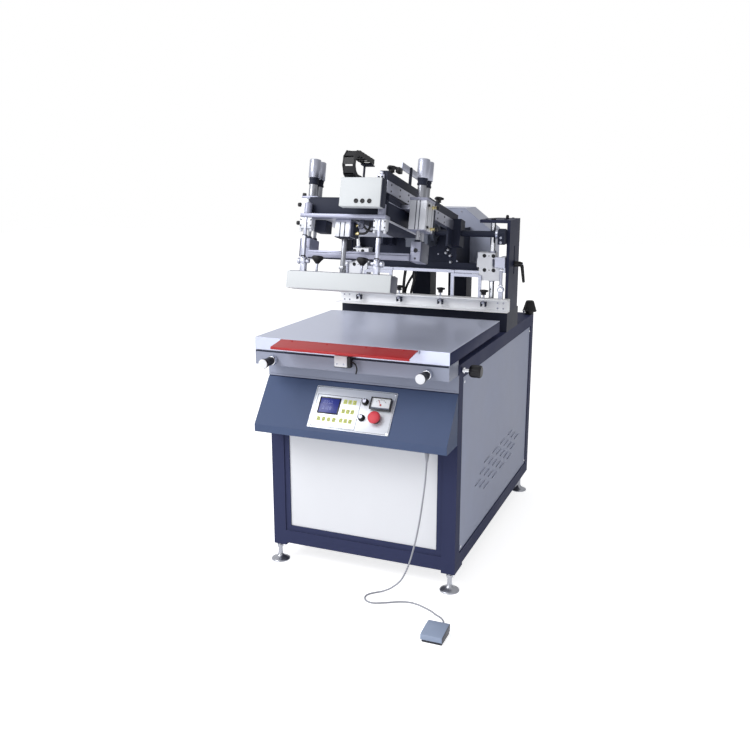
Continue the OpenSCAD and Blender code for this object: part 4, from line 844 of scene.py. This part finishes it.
# %% Clamp screws of the frame holder
CLAMP_Y = 42
for k, x in enumerate((-263, -87, 87, 263), 1):
    screw = "screw_%d" % k
    knob = moved(star_top(37), x, CLAMP_Y, 954)
    piece("clamp_knob_%d" % k, knob, on_machine, screw, "black_plastic", replaces="clamp_" + screw)
    foot = joined(stud(4, 926, 955.5),
        lathe([(10.2, 920), (11, 920.8), (11, 925), (9.6, 926), (4.6, 926.6)], 32))
    fork = blocks(1, (-11, 33, 921, 11, 51, 926.5), (-11, 34, 908, -6, 50, 921),
        (6, 34, 908, 11, 50, 921))
    piece("clamp_fork_%d" % k, [moved(f, x, 0, 0) for f in fork], on_machine, screw, "dark_paint")
    piece("clamp_stud_%d" % k, moved(foot, x, CLAMP_Y, 0), on_machine, screw, "silver")

# %% [markdown]
# ## Frame holder and its slides
# The white channel is held to its hangers by countersunk screws at its ends. Two white slide
# blocks a side run on chromed shafts, each with two deep black screws in its face. The rod ends
# carry a polished bolt and a locknut, and the shafts end in black caps on the columns.

# %% Screws and rod ends
web = [(x, 61, z) for x in (-338, -315, 315, 338) for z in (901, 922)]
holder_piece("holder_screws", front_screws(3.4, 1.6, web), "silver")
UPPER, LOWER, SLIDER_FACE = 1103, 1048, 62.4
faces = [(s * x, SLIDER_FACE, z) for s in (-1, 1)
         for x, z in ((256, UPPER), (292, UPPER), (258, LOWER), (294, LOWER))]
slider_screw = to_front(lathe([(7.4, 0), (7.4, 1.2), (6.6, 1.8), (3, 1.9), (2.6, 1.3), (1, 1.2)], 28))
holder_piece("slider_screws", copies(slider_screw, faces), "black_plastic")
pins = [(s * x, SLIDER_FACE, z) for x, z in ((274, UPPER), (276, LOWER)) for s in (-1, 1)]
holder_piece("slider_pins", front_screws(2.2, 0.9, pins), "black_plastic")
eye = joined(turned_to(rod(5.8, 51, 69, 0.8), "y"), to_front(moved(cap_screw(9.6, 3.4), 0, 0, -54)))
nut = joined(bar(hexagon(9.5), 14, 20, 0.8), bar(hexagon(9.5), 74, 81, 0.8))
rod_end = joined(moved(eye, 325, 0, 974), moved(nut, 325, 60, 974))
holder_piece("rod_end_bolts", both(rod_end), "chrome")
collar = joined(lathe([(13.5, 1116), (14, 1116.6), (14, 1121.5), (13, 1122), (10.3, 1122)], 36),
    lathe([(12, 1003), (12.4, 1003.6), (12.4, 1006.5), (10.3, 1007)], 36))
holder_piece("slider_wipers", both(moved(collar, 283, 82, 0)), "silver")
tall = lathe([(5.6, 0), (6, 0.6), (6, 10), (5, 14), (3, 15.4), (0.8, 15.6)], 24)
flat = lathe([(8.6, 0), (9, 0.5), (9, 4), (7.8, 5.4), (2, 5.8)], 28)
base_piece("column_caps", both(moved(tall, 320, 150, 1240), moved(flat, 283, 82, 1240)),
    "black_plastic")
COLUMN_TOP = 1240
plate_bolts = [(x, y, COLUMN_TOP) for x in (-328, 328) for y in (86, 212)]
plate_bolts += [(x, 96, COLUMN_TOP) for x in (-252, 252)]
base_piece("column_screws", copies(cap_screw(5, 2.6), plate_bolts), "dark_paint")

# %% Lock lever
LEVER = (352.5, 150, 1067)
put = lambda shape: moved(shape, *LEVER)
hub = turned_to(lathe([(9.5, 0.6), (11, 1.8), (11, 15), (10.2, 17), (10.2, 25), (8.4, 27.5), (8, 33),
    (6.4, 34.4), (1.5, 34.8)], 48, 0.015, 16), "x")
arm = tube(smooth_path([(20, 0, 3), (27, 0, 0), (32, 0, -8), (34.5, 0, -22), (38, 0, -48),
    (40.5, 0, -66), (41, 0, -72)], 5),
    np.interp(np.arange(31), [0, 6, 12, 22, 29, 30], [6.5, 7.6, 6.8, 5.8, 5.2, 2.6]), 20)
piece("lock_lever", [put(hub), put(arm)], on_machine, "lever", "black_plastic", replaces="clamp_lever")
piece("lock_lever_stud", [put(turned_to(rod(4, -30, 1.5), "x")),
    put(turned_to(moved(cap_screw(5.4, 1.6), 0, 0, 34.4), "x"))], on_machine, "lever", "silver")

# %% Air regulator
REGULATOR = (340.5, 530.5, 808)
cone = lathe([(17.4, 0), (18, 0.6), (18, 11), (27, 11.6), (30.4, 12.6), (31, 14), (31, 18), (29.4, 20),
    (28, 21)], 72)
grip = lathe([(27.4, 21), (26.4, 27), (23.6, 36), (20.6, 46), (17.8, 55), (16.2, 58.4), (13.4, 60),
    (2, 60.4)], 96, 0.03, 18)
base_piece("regulator_knob", [moved(cone, *REGULATOR), moved(grip, *REGULATOR)], "black_plastic",
    replaces="air_regulator")
base_piece("regulator_button", moved(to_front(lathe([(5.4, 0), (5.4, 4.4), (4.6, 5.4), (1, 5.8)], 28)),
    322, 506, 823), "chrome")

# %% [markdown]
# ## Pivot, housing and hood
# The head swings on a black shaft in two bearings bolted to the columns. The drive sits behind
# the head in a dark box under a lavender sheet-metal hood. Air fittings stand out of the dark
# sheet, and three hoses drop behind the frame holder to the deck.

# %% Bearing bolts, hood screws and fittings
bolts = [(x, 28, z) for x in (-327, 327) for z in (1158, 1176)]
base_piece("bearing_bolts", front_screws(4.6, 3, bolts), "silver")
ring = turned_to(lathe([(13.6, 0), (17.5, 0.4), (18, 1.2), (18, 9), (17, 10)], 36), "x")
piece("shaft_collars", both(moved(ring, 303, PIVOT_Y, PIVOT_Z)), on_machine, "head", "silver")
hood_bolts = [(x, 302, z) for x in (-204, 204) for z in (1060, 1168)]
hood_bolts += [(x, 302, 1258) for x in (-88, 88)]
base_piece("hood_screws", front_screws(4.2, 2.2, hood_bolts), "silver")
rise = [(215, 1047), (215, 1120), (215, 1184), (160, 1227), (105, 1270)]
rim = [(-x, 301.6, z) for x, z in rise] + [(0, 301.6, 1270)] + [(x, 301.6, z) for x, z in rise[::-1]]
bead = tube(rim, 1.6, 8)
base_piece("hood_rim", bead, "hood_paint")
straight = joined(bar(hexagon(6.4), 0, 5, 0.6),
    lathe([(4.6, 5), (5.4, 5.6), (5.4, 11), (4.4, 12.4), (1, 12.8)], 24))
places = [(95, 112, 1116), (104, 112, 1094), (106, 112, 1068), (86, 112, 1104)]
base_piece("housing_fittings", copies(to_front(straight), places), "chrome", machined_steel)
dots = [(52, 112, 1098), (131, 112, 1072), (-60, 112, 1110), (-200, 112, 1080), (-200, 112, 1200),
    (-262, 112, 1080), (-262, 112, 1200), (118, 112, 1186)]
base_piece("housing_screws", front_screws(3.2, 1.8, dots), "silver")

# %% Hoses behind the frame holder
drops = (
    ("supply_hose", 6.0, [(-82, 104, 1039), (-82, 94, 1018), (-85, 90, 985), (-87, 90, 945),
                          (-86, 92, 898)]),
    ("return_hose", 5.0, [(-48, 106, 1039), (-50, 104, 1014), (-68, 106, 985), (-84, 108, 950),
                          (-92, 108, 898)]),
    ("spare_hose", 5.0, [(-41, 104, 1039), (-38, 92, 1020), (-40, 80, 985), (-49, 78, 945),
                         (-56, 80, 898)]))
for name, r, points in drops:
    path = smooth_path(points, 8)
    hose = base_piece(name, tube(path, r, 16), "black_plastic")
    loose(hose, on_machine, path, 2 * r * MM, far_end="object", stiffness="medium", lay="hanging")

# %% [markdown]
# ## Print head: rails, sensors and control box
# The head is drawn in its own frame, along its rails. A silver strip over the right rail holds
# the travel sensor between two clamping knobs. The control box is a folded white cover, dark on
# its right side and at its back, with three grommets for its cables. The black chain carries the
# cables to the carriage.

# %% Finishes of the head
white_metal = finish("white_metal", (208, 211, 220), 0.36, metallic=0.25, grain_mm=0.8, depth=0.006,
    wear=0.15, drift=0.03)
cover_white = finish("cover_white", (206, 210, 214), 0.5, specular=0.25, grain_mm=2.5, depth=0.02,
    wear=0.1, drift=0.01, dusty=0.0, under=(150, 152, 158))
press_silver = finish("press_silver", (158, 161, 182), 0.36, metallic=0.25, grain_mm=0.5, depth=0.006,
    stretch=(1, 1, 0.05), wear=0.25)
# A dark grey used mostly as painted shade: in slots and grooves, in the gap between cylinders and on
# the dark sides of the clamps and the squeegee box; the cable clamp also wears it.
grey_and_painted_shade = finish("grey_and_painted_shade", (78, 81, 98), 0.42, metallic=0.2, grain_mm=0.8, depth=0.01, wear=0.2)
bright_brass = finish("bright_brass", (214, 200, 150), 0.25, metallic=0.9, grain_mm=0.5, depth=0.004,
    wear=0.0)
rubber = finish("rubber", (28, 28, 32), 0.55, grain_mm=0.6, depth=0.04, wear=0.0)

# %% Sensor rail
strip = block((118, -580, 114), (122, -300, 138), 0.8)
feet = [block((118.5, y, 74), (126, y + 12, 138), 0.8) for y in (-505, -342)]
head_piece("sensor_strip", strip, "silver", replaces="sensor_rail")
head_piece("sensor_posts", feet, "dark_paint")
head_piece("sensor_head", [block((107, -604, 99), (122, -574, 117), 2),
    turned_to(rod(3, -614, -606), "y")], "black_plastic")
knob = joined(moved(star_top(39, 0.95), 0, 0, 2), rod(5, -6, 6))
head_piece("sensor_knobs", copies(knob, [(124.5, -680, 80), (124.5, -190, 80)]), "black_plastic")
head_piece("rail_end_block", [block((104, -745, 46), (128, -712, 62), 1.5),
    block((112, -746, 62), (124, -728, 70), 1)], "silver")
head_piece("rail_end_screws", front_screws(3.4, 1.8, [(110, -745, 54), (121, -745, 54)]),
    "black_plastic")
side = lambda shape: turned_to(shape, "x")
holes = [(137, y, z) for y in range(-700, -60, 80) for z in (18, 38)]
head_piece("guide_screws", copies(side(cap_screw(3.2, 1.2)), holes), "black_plastic")

# %% Control box
shell = block((10, -806, -50), (146.5, -774, 39), 2.0, "y")
head_piece("box_cover", shell, "white_paint", cover_white, replaces="control_box")
head_piece("box_side", [block((146.5, -804, -49), (150, -774, 38), 1),
    block((12, -774, -48), (150, -770, 37), 1)], "dark_paint")
grommet = to_front(lathe([(6.6, 0), (7.2, 0.8), (6.8, 2.2), (4.6, 2.6), (4.2, 1.0), (1, 0.8)], 28))
head_piece("box_grommets", copies(grommet, [(x, -806, -33) for x in (67, 88, 111)]), "black_plastic",
    rubber)

# %% [markdown]
# ## Print head: carriage
# A dark cross plate, deck and side plates carry a bright machined flange with the bearings of
# the two squeegee guides. Above the flange stand two silver stop cylinders, below it hang white
# wings. A light cover plate closes the carriage from below; its dark right part is a painted
# reflection of the dark machine.

# %% Deck, plates and arms
plates = blocks(1.2, (-137, -713, -18, 137, -520, -5), (92, -713, -5, 137, -520, 7),
                (92, -660, 7, 111.5, -520, 45.5), (125, -713, -68, 137, -520, -18),
                (-125, -713, -68, -113, -520, -18), (-135, -724, -66, 135, -713, -12),
                (-225, -520, -45, 225, -508, -5), (-225, -520, -84, -165, -508, -45),
                (165, -520, -84, 225, -508, -45))
post = blocks(0.8, (9, -639.5, -5, 15, -633.5, 113.5), (9, -663.5, 109.5, 47, -633.5, 113.5))
carriage_piece("carriage_plates", plates + post, "dark_paint", replaces="carriage")
arms = blocks(1, (137, -600, -18, 167, -520, -5), (-167, -600, -18, -137, -520, -5))
carriage_piece("carriage_arms", arms + [block((136, -713, -19), (138.4, -600, -16.6), 0.4)], "silver")
flange = [block((-147, -752, -76), (147, -713, -64), 1.6)]
carriage_piece("carriage_flange", flange, "silver", press_silver)
carriage_piece("carriage_cover", block((-125, -713, -76), (24, -355, -68.2), 0.8), "silver",
    white_metal)
# The dark right part of the cover plate is a painted reflection of the dark machine.
carriage_piece("carriage_cover_dark", block((24.4, -713, -75.6), (133, -355, -68.4), 0.6), "dark_paint")
carriage_piece("carriage_cover_edge", block((133, -713, -76.4), (137, -355, -70), 0.8), "silver",
    white_metal)
carriage_piece("carriage_valve", block((-119, -700, -115), (-79, -650, -76), 2), "dark_paint")
stop = lathe([(11.4, -64), (12.5, -63), (12.5, -31), (11.6, -29.4), (7.6, -29), (7.2, -30.4),
    (1, -30.6)], 48)
carriage_piece("stop_cylinders", both(moved(stop, 127, -738, 0)), "silver", press_silver)
wings = [block((x, -748, -112), (x + 20, -724, -76), 2.2) for x in (105.5, 128.5)]
carriage_piece("guide_bearings", both(*wings), "silver", white_metal)
dots = [(x, -748, z) for x in (109.5, 144.5) for z in (-84, -103)]
carriage_piece("bearing_dots", both(front_screws(2.6, 0.8, dots)), "black_plastic")
bolt = lathe([(4.4, -121), (5, -120), (5, -113), (3, -112)], 24)
carriage_piece("bearing_studs", both(copies(bolt, [(109.5, -742, 0), (144.5, -742, 0)])), "chrome",
    white_metal)
ring = moved(to_front(lathe([(9, 0), (10.4, 1.2), (10.4, 6), (9, 7.4), (5, 7.4), (4.6, 4), (1, 3.6)],
    36)), 52, -713, -95)
carriage_piece("cable_clamp", [ring, block((44, -713, -100), (60, -705, -76), 1.4)], "silver",
    grey_and_painted_shade)

# %% [markdown]
# ## Print head: press units
# Each side has two compact air cylinders set one behind the other. Their bodies are drawn
# aluminium with sensor slots down the face. Above, chromed sleeves with dark collars and turned
# caps rise with the flood bar below.

# %% Cylinder bodies
def slotted(w, d, cuts, deep=2.6, wide=3.2):
    """Rectangle w by d run round to the left, notched in front at each x of cuts and in each side."""
    x1, y1, half = w / 2, d / 2, wide / 2
    notch = ((-half, -y1), (-half, deep - y1), (half, deep - y1), (half, -y1))
    front = [(x + dx, y) for x in cuts for dx, y in notch]
    right = [(x1, -half), (x1 - deep, -half), (x1 - deep, half), (x1, half)]
    left = [(-x, -y) for x, y in right]
    return np.array([(-x1, -y1)] + front + [(x1, -y1)] + right + [(x1, y1), (-x1, y1)] + left)

PRESS_X, PRESS_Y = 195, (-580.5, -539.5)
axes = [(PRESS_X, y, 0) for y in PRESS_Y]
body = bar(slotted(56, 39, (-6, 6)), -84, 12, 0.5)
carriage_piece("press_bodies", both(copies(body, axes)), "white_paint", white_metal,
    replaces="press_cylinders")
# Dark strips in the sensor slots, in the side slots and in the gap between the two cylinders are
# painted shade.
slot_and_gap_shade = [block((x - 1.6, -600.2, -82), (x + 1.6, -597.4, 10), 0.3) for x in (PRESS_X - 6, PRESS_X + 6)]
slot_and_gap_shade += [block((222.2, y - 1.6, -82), (223.2, y + 1.6, 10), 0.2) for y in PRESS_Y]
slot_and_gap_shade += [block((167.2, -561, -83), (222.4, -559, 11), 0.3)]
carriage_piece("press_slots", both(*slot_and_gap_shade), "dark_paint", grey_and_painted_shade)
carriage_piece("press_caps", both(block((165, -602, 12), (225, -520, 20), 1.2),
    block((166.4, -600.6, -85), (223.6, -520.6, -82.4), 0.6)), "silver", press_silver)
head_nut = lathe([(15, 20), (16, 20.3), (16, 21.3), (14.8, 21.7)], 36)
carriage_piece("press_nuts", both(copies(head_nut, axes)), "dark_paint")
elbow = joined(bar(hexagon(6), 0, 5, 0.5), lathe([(4.2, 5), (4.8, 5.6), (4.8, 12), (4, 13)], 24),
    lathe([(5.6, 12.6), (6, 13.2), (6, 19), (5, 20)], 24))
front_ports, rear_ports = ([(223, y, z) for z in (-72, -2)] for y in PRESS_Y)
carriage_piece("press_fittings", both(copies(side(elbow), rear_ports)), "chrome", bright_brass)
carriage_piece("press_elbows", [both(copies(side(rod(6.6, 15, 24, 1.6)), rear_ports)),
    both(copies(side(cap_screw(4.4, 5)), front_ports))], "black_plastic")

left_elbow = mirrored(side(joined(rod(5.4, 0, 9, 1), rod(7, 9, 19, 1.6))))
carriage_piece("left_elbows", copies(left_elbow, [(-223, -588, z) for z in (-8, -70)]), "black_plastic")
carriage_piece("left_valve", block((-224, -600, 20), (-212.8, -590, 30), 1.4), "black_plastic")

# %% Sleeves, caps, rods and flood bar
put_all = lambda shape: both(copies(shape, axes))
cap = lathe([(19, 84), (19.5, 84.8), (19.5, 144), (18.2, 146), (15.6, 146.4), (15, 145.2), (2, 145)],
    64)
flood_piece("cylinder_tops", put_all(cap), "silver", replaces="cylinder_caps")
collar = lathe([(15.4, 62), (16.5, 63), (16.5, 68), (15.2, 69), (15.2, 76), (16.5, 77), (16.5, 83),
    (15.4, 84)], 48)
flood_piece("cylinder_collars", put_all(collar), "dark_paint")
flood_piece("cylinder_sleeves",
    [put_all(rod(14, -20, 62.4, 0.6, 48)), put_all(rod(6, -122, -20, 0.6, 32))], "chrome",
    machined_steel)
rod_nut = bar(hexagon(10.5), -122, -114, 1)
flood_piece("rod_nuts", put_all(rod_nut), "dark_paint")
flood_piece("flood_blade", block((-181, -608, -186), (181, -594, -162), 1.2), "silver", press_silver,
    replaces="flood_bar")
flood_piece("flood_lip", [block((-181, -607, -190), (181, -595, -186), 0.8),
    block((-181, -608.6, -170), (181, -607.8, -168.6), 0.3)], "dark_paint")
clamps = block((181, -600, -186), (215.6, -527.5, -122), 1.6, "x")
flood_piece("flood_clamps", both(clamps), "silver", press_silver)
# The dark plates on the clamps' outer sides are painted shade.
sides = joined(block((215.6, -599, -185), (219, -527.5, -123), 1),
    block((182, -600.4, -154), (214, -599.4, -152.8), 0.2))
flood_piece("flood_clamp_sides", both(sides), "dark_paint", grey_and_painted_shade)
eyes = moved(to_front(lathe([(6.8, 0), (7.2, 0.6), (5.6, 1), (5.2, 0.2), (1, 0.1)], 32)), 199, -600,
    -150)
small = front_screws(3.2, 1.2, [(199, -600, -176)])
flood_piece("flood_clamp_holes", both(eyes, small), "black_plastic")

# %% [markdown]
# ## Squeegee and its air cylinder
# The white box holds the squeegee blade. It hangs on two chromed guides that run through the
# bearings, with a clevis at each foot. A single air cylinder in the middle lifts it. Two knobs
# with a lobed head clamp the blade.

# %% Squeegee box
# Painted shade: dark strips down in the box's two top slots, along its top between them and on its
# right end.
slots = [block((-176, y0, -248.6), (176, y1, -245.6), 0.3) for y0, y1 in ((-738, -732), (-704, -698))]
box = [block((-180, -748, -303), (180, -688, -248), 1.6, "x")]
squeegee_piece("squeegee_box", box, "white_paint", cover_white, replaces="squeegee_holder")
squeegee_piece("squeegee_slots",
    slots + [block((180, -746, -301), (180.8, -690, -250), 0.3),
    block((-178, -718, -248.5), (178, -715, -247.8), 0.3)], "dark_paint", grey_and_painted_shade)
guide = [block((121.5, -752, -205), (132.5, -740, -134), 1.2),
    block((122.5, -751, -135), (131.5, -741, -77), 1.2),
    block((118, -748, -248), (136, -730, -203), 1.6)]
squeegee_piece("squeegee_guides", both(*guide), "chrome", satin_silver)
bands = [block((120.9, -752.6, z), (133.1, -739.4, z + 4), 0.8) for z in (-136, -202)]
squeegee_piece("guide_bands", both(*bands), "black_plastic")
CLEVIS_Y, CLEVIS_Z = -739, -215
eye = moved(turned_to(rod(7, 107, 141, 1.2, 32), "x"), 0, CLEVIS_Y, CLEVIS_Z)
face = moved(to_front(lathe([(8.6, 0), (9.4, 1.2), (9, 3), (5.4, 4.4), (1, 4.6)], 36)), 127, -748,
    CLEVIS_Z)
ends = moved(turned_to(lathe([(9, 138), (10, 139), (10, 146), (8, 148), (1, 148.4)], 32), "x"), 0,
    CLEVIS_Y, CLEVIS_Z)
squeegee_piece("squeegee_clevis", both(eye, face, ends), "chrome", satin_silver)
LIFT = (-9, -697, 0)
aim = lambda shape: moved(shape, *LIFT)
squeegee_piece("lift_rod", [aim(rod(8, -248, -131, 0.8, 32)), aim(bar(hexagon(13), -232, -222, 1))],
    "chrome", machined_steel)

# %% Mushroom knobs
base = -214
rise = [(6, -6), (9, -2), (15, 5), (19, 9), (19.6, 12), (19.2, 15.6), (16, 18.4), (6, 19.6)]
head_part = lathe([(r, base + z) for r, z in rise], 60, 0.03, 6)
for tag, x in (("left", -87), ("right", 69)):
    put = lambda shape: moved(shape, x, -722, 0)
    piece("squeegee_knob_" + tag, put(head_part), on_head, "knob_" + tag, "black_plastic",
        replaces="holder_knob_" + tag)
    piece("squeegee_stud_" + tag, [put(rod(4, -247.5, base - 4, 0.6)),
        put(lathe([(8.4, -247.6), (9, -247), (9, -245.4), (7, -244.6)], 32))], on_head, "knob_" + tag,
        "silver")

# %% Air cylinder
carriage_piece("lift_cylinder", aim(bar(slotted(50, 50, (-8, 8)), -131, -84, 0.5)), "white_paint",
    white_metal, replaces="air_cylinder")
trim = [block((-27, -25, -84), (27, 27, -76), 1.2), block((25, -24, -129), (28, 24, -85), 0.8)]
carriage_piece("lift_cylinder_head", [aim(s) for s in trim], "silver", press_silver)
rim = [block((-25.6, -25.6, -133), (25.6, 25.6, -130.6), 0.8),
    block((28, -23, -130), (38, 24, -84), 1.2)]
# The dark strips in the two grooves are painted shade.
rim += [block((x - 1.5, -25.2, -129), (x + 1.5, -23, -86), 0.2) for x in (-8, 8)]
carriage_piece("lift_cylinder_rim", [aim(s) for s in rim], "dark_paint")
brass = joined(bar(hexagon(5.6), 36, 42, 0.5),
    lathe([(4.6, 42), (5.2, 42.6), (5.2, 50), (4.4, 51)], 24))
carriage_piece("lift_fittings", [moved(side(brass), -9, -702, z) for z in (-117, -92)], "chrome",
    bright_brass)

# %% Air hoses
coils = (
    ("air_hose_long", 3.8, [(42, -702, -117), (48, -702, -117), (61, -700, -115), (69, -697, -106),
                            (73, -694, -94), (74, -693, -79)]),
    ("air_hose_short", 3.4, [(42, -702, -92), (49, -702, -92), (58, -708, -94), (68, -706, -104),
                             (82, -700, -108), (90, -694, -98), (92, -690, -79)]))
for name, r, points in coils:
    path = smooth_path(points, 8)
    hose = carriage_piece(name, [tube(path, r, 16)], "black_plastic", rubber,
        "air_hoses" if "long" in name else None)
    loose(hose, on_head, path, 2 * r * MM, far_end="object", stiffness="limp", lay="hanging")

# %% [markdown]
# ## Floor and light
# The machine is shown as in a studio: a plain white floor that keeps the soft shadow, and a
# white surround. Seen directly the surround has a strength of 1; in a reflection it falls to a
# half on the shaded side, and what it gives to the object as light is lower still. Three large
# soft lamps add the modelling.

# %% Floor
floor_mesh = bpy.data.meshes.new("floor")
reach = 14
corners = [(-reach, -reach, 0), (reach, -reach, 0), (reach, reach, 0), (-reach, reach, 0)]
floor_mesh.from_pydata(corners, [], [(0, 1, 2, 3)])
floor = bpy.data.objects.new("floor", floor_mesh)
bpy.context.scene.collection.objects.link(floor)
white_floor = bpy.data.materials.new("white_floor")
white_floor.use_nodes = True
tree = white_floor.node_tree
shader = tree.nodes["Principled BSDF"]
shader.inputs["Base Color"].default_value = (0.8, 0.8, 0.81, 1)
shader.inputs["Roughness"].default_value = 0.9
rays = wired(tree, "ShaderNodeLightPath", {})
seen = maths(tree, "MAXIMUM", rays.outputs["Is Camera Ray"], rays.outputs["Is Glossy Ray"])
seen = maths(tree, "MAXIMUM", seen, rays.outputs["Is Transmission Ray"])
lift = wired(tree, "ShaderNodeEmission", {"Strength": maths(tree, "MULTIPLY", seen, 0.75)})
both_ways = wired(tree, "ShaderNodeAddShader", {0: shader.outputs[0], 1: lift.outputs[0]})
tree.links.new(both_ways.outputs[0], tree.nodes["Material Output"].inputs["Surface"])
floor_mesh.materials.append(white_floor)

# %% Lamps and surround
def soft_lamp(name, where, target, size, watts):
    """A square area lamp that looks from one point at another."""
    data = bpy.data.lights.new(name, "AREA")
    data.size, data.energy = size, watts
    lamp = bpy.data.objects.new(name, data)
    lamp.location = where
    lamp.rotation_euler = (Vector(target) - Vector(where)).to_track_quat("-Z", "Y").to_euler()
    bpy.context.scene.collection.objects.link(lamp)

soft_lamp("key", (-2.4, -3.2, 3.6), (0, 0, 0.9), 2.4, 124)
soft_lamp("front", (-0.9, -4.6, 1.3), (0, 0, 0.6), 2.4, 30)
soft_lamp("fill", (3.2, -3.0, 2.4), (0, 0, 0.9), 2.8, 12)
world = bpy.data.worlds.new("surround")
world.use_nodes = True
tree = world.node_tree
rays = wired(tree, "ShaderNodeLightPath", {})
towards_light = (0.86, 0.30, -0.41)
way = wired(tree, "ShaderNodeVectorMath",
    {0: wired(tree, "ShaderNodeNewGeometry", {}).outputs["Incoming"], 1: towards_light},
    operation="DOT_PRODUCT").outputs["Value"]

def shaded(low, high):
    """From low on the side turned away from the light to high on the side towards it."""
    return maths(tree, "ADD", maths(tree, "MULTIPLY", ramp(tree, way, -0.8, 0.9), high - low), low)

lit, shown = shaded(0.18, 0.66), shaded(0.5, 1.0)
glossy = wired(tree, "ShaderNodeMix", {0: rays.outputs["Is Glossy Ray"], 2: lit, 3: shown},
    data_type="FLOAT").outputs[0]
seen = maths(tree, "MAXIMUM", rays.outputs["Is Camera Ray"], rays.outputs["Is Transmission Ray"])
strength = maths(tree, "MAXIMUM", seen, glossy)
tree.links.new(strength, tree.nodes["Background"].inputs["Strength"])
tree.nodes["Background"].inputs["Color"].default_value = (1, 1, 1, 1)
bpy.context.scene.world = world
bpy.context.scene.view_settings.view_transform = "Standard"
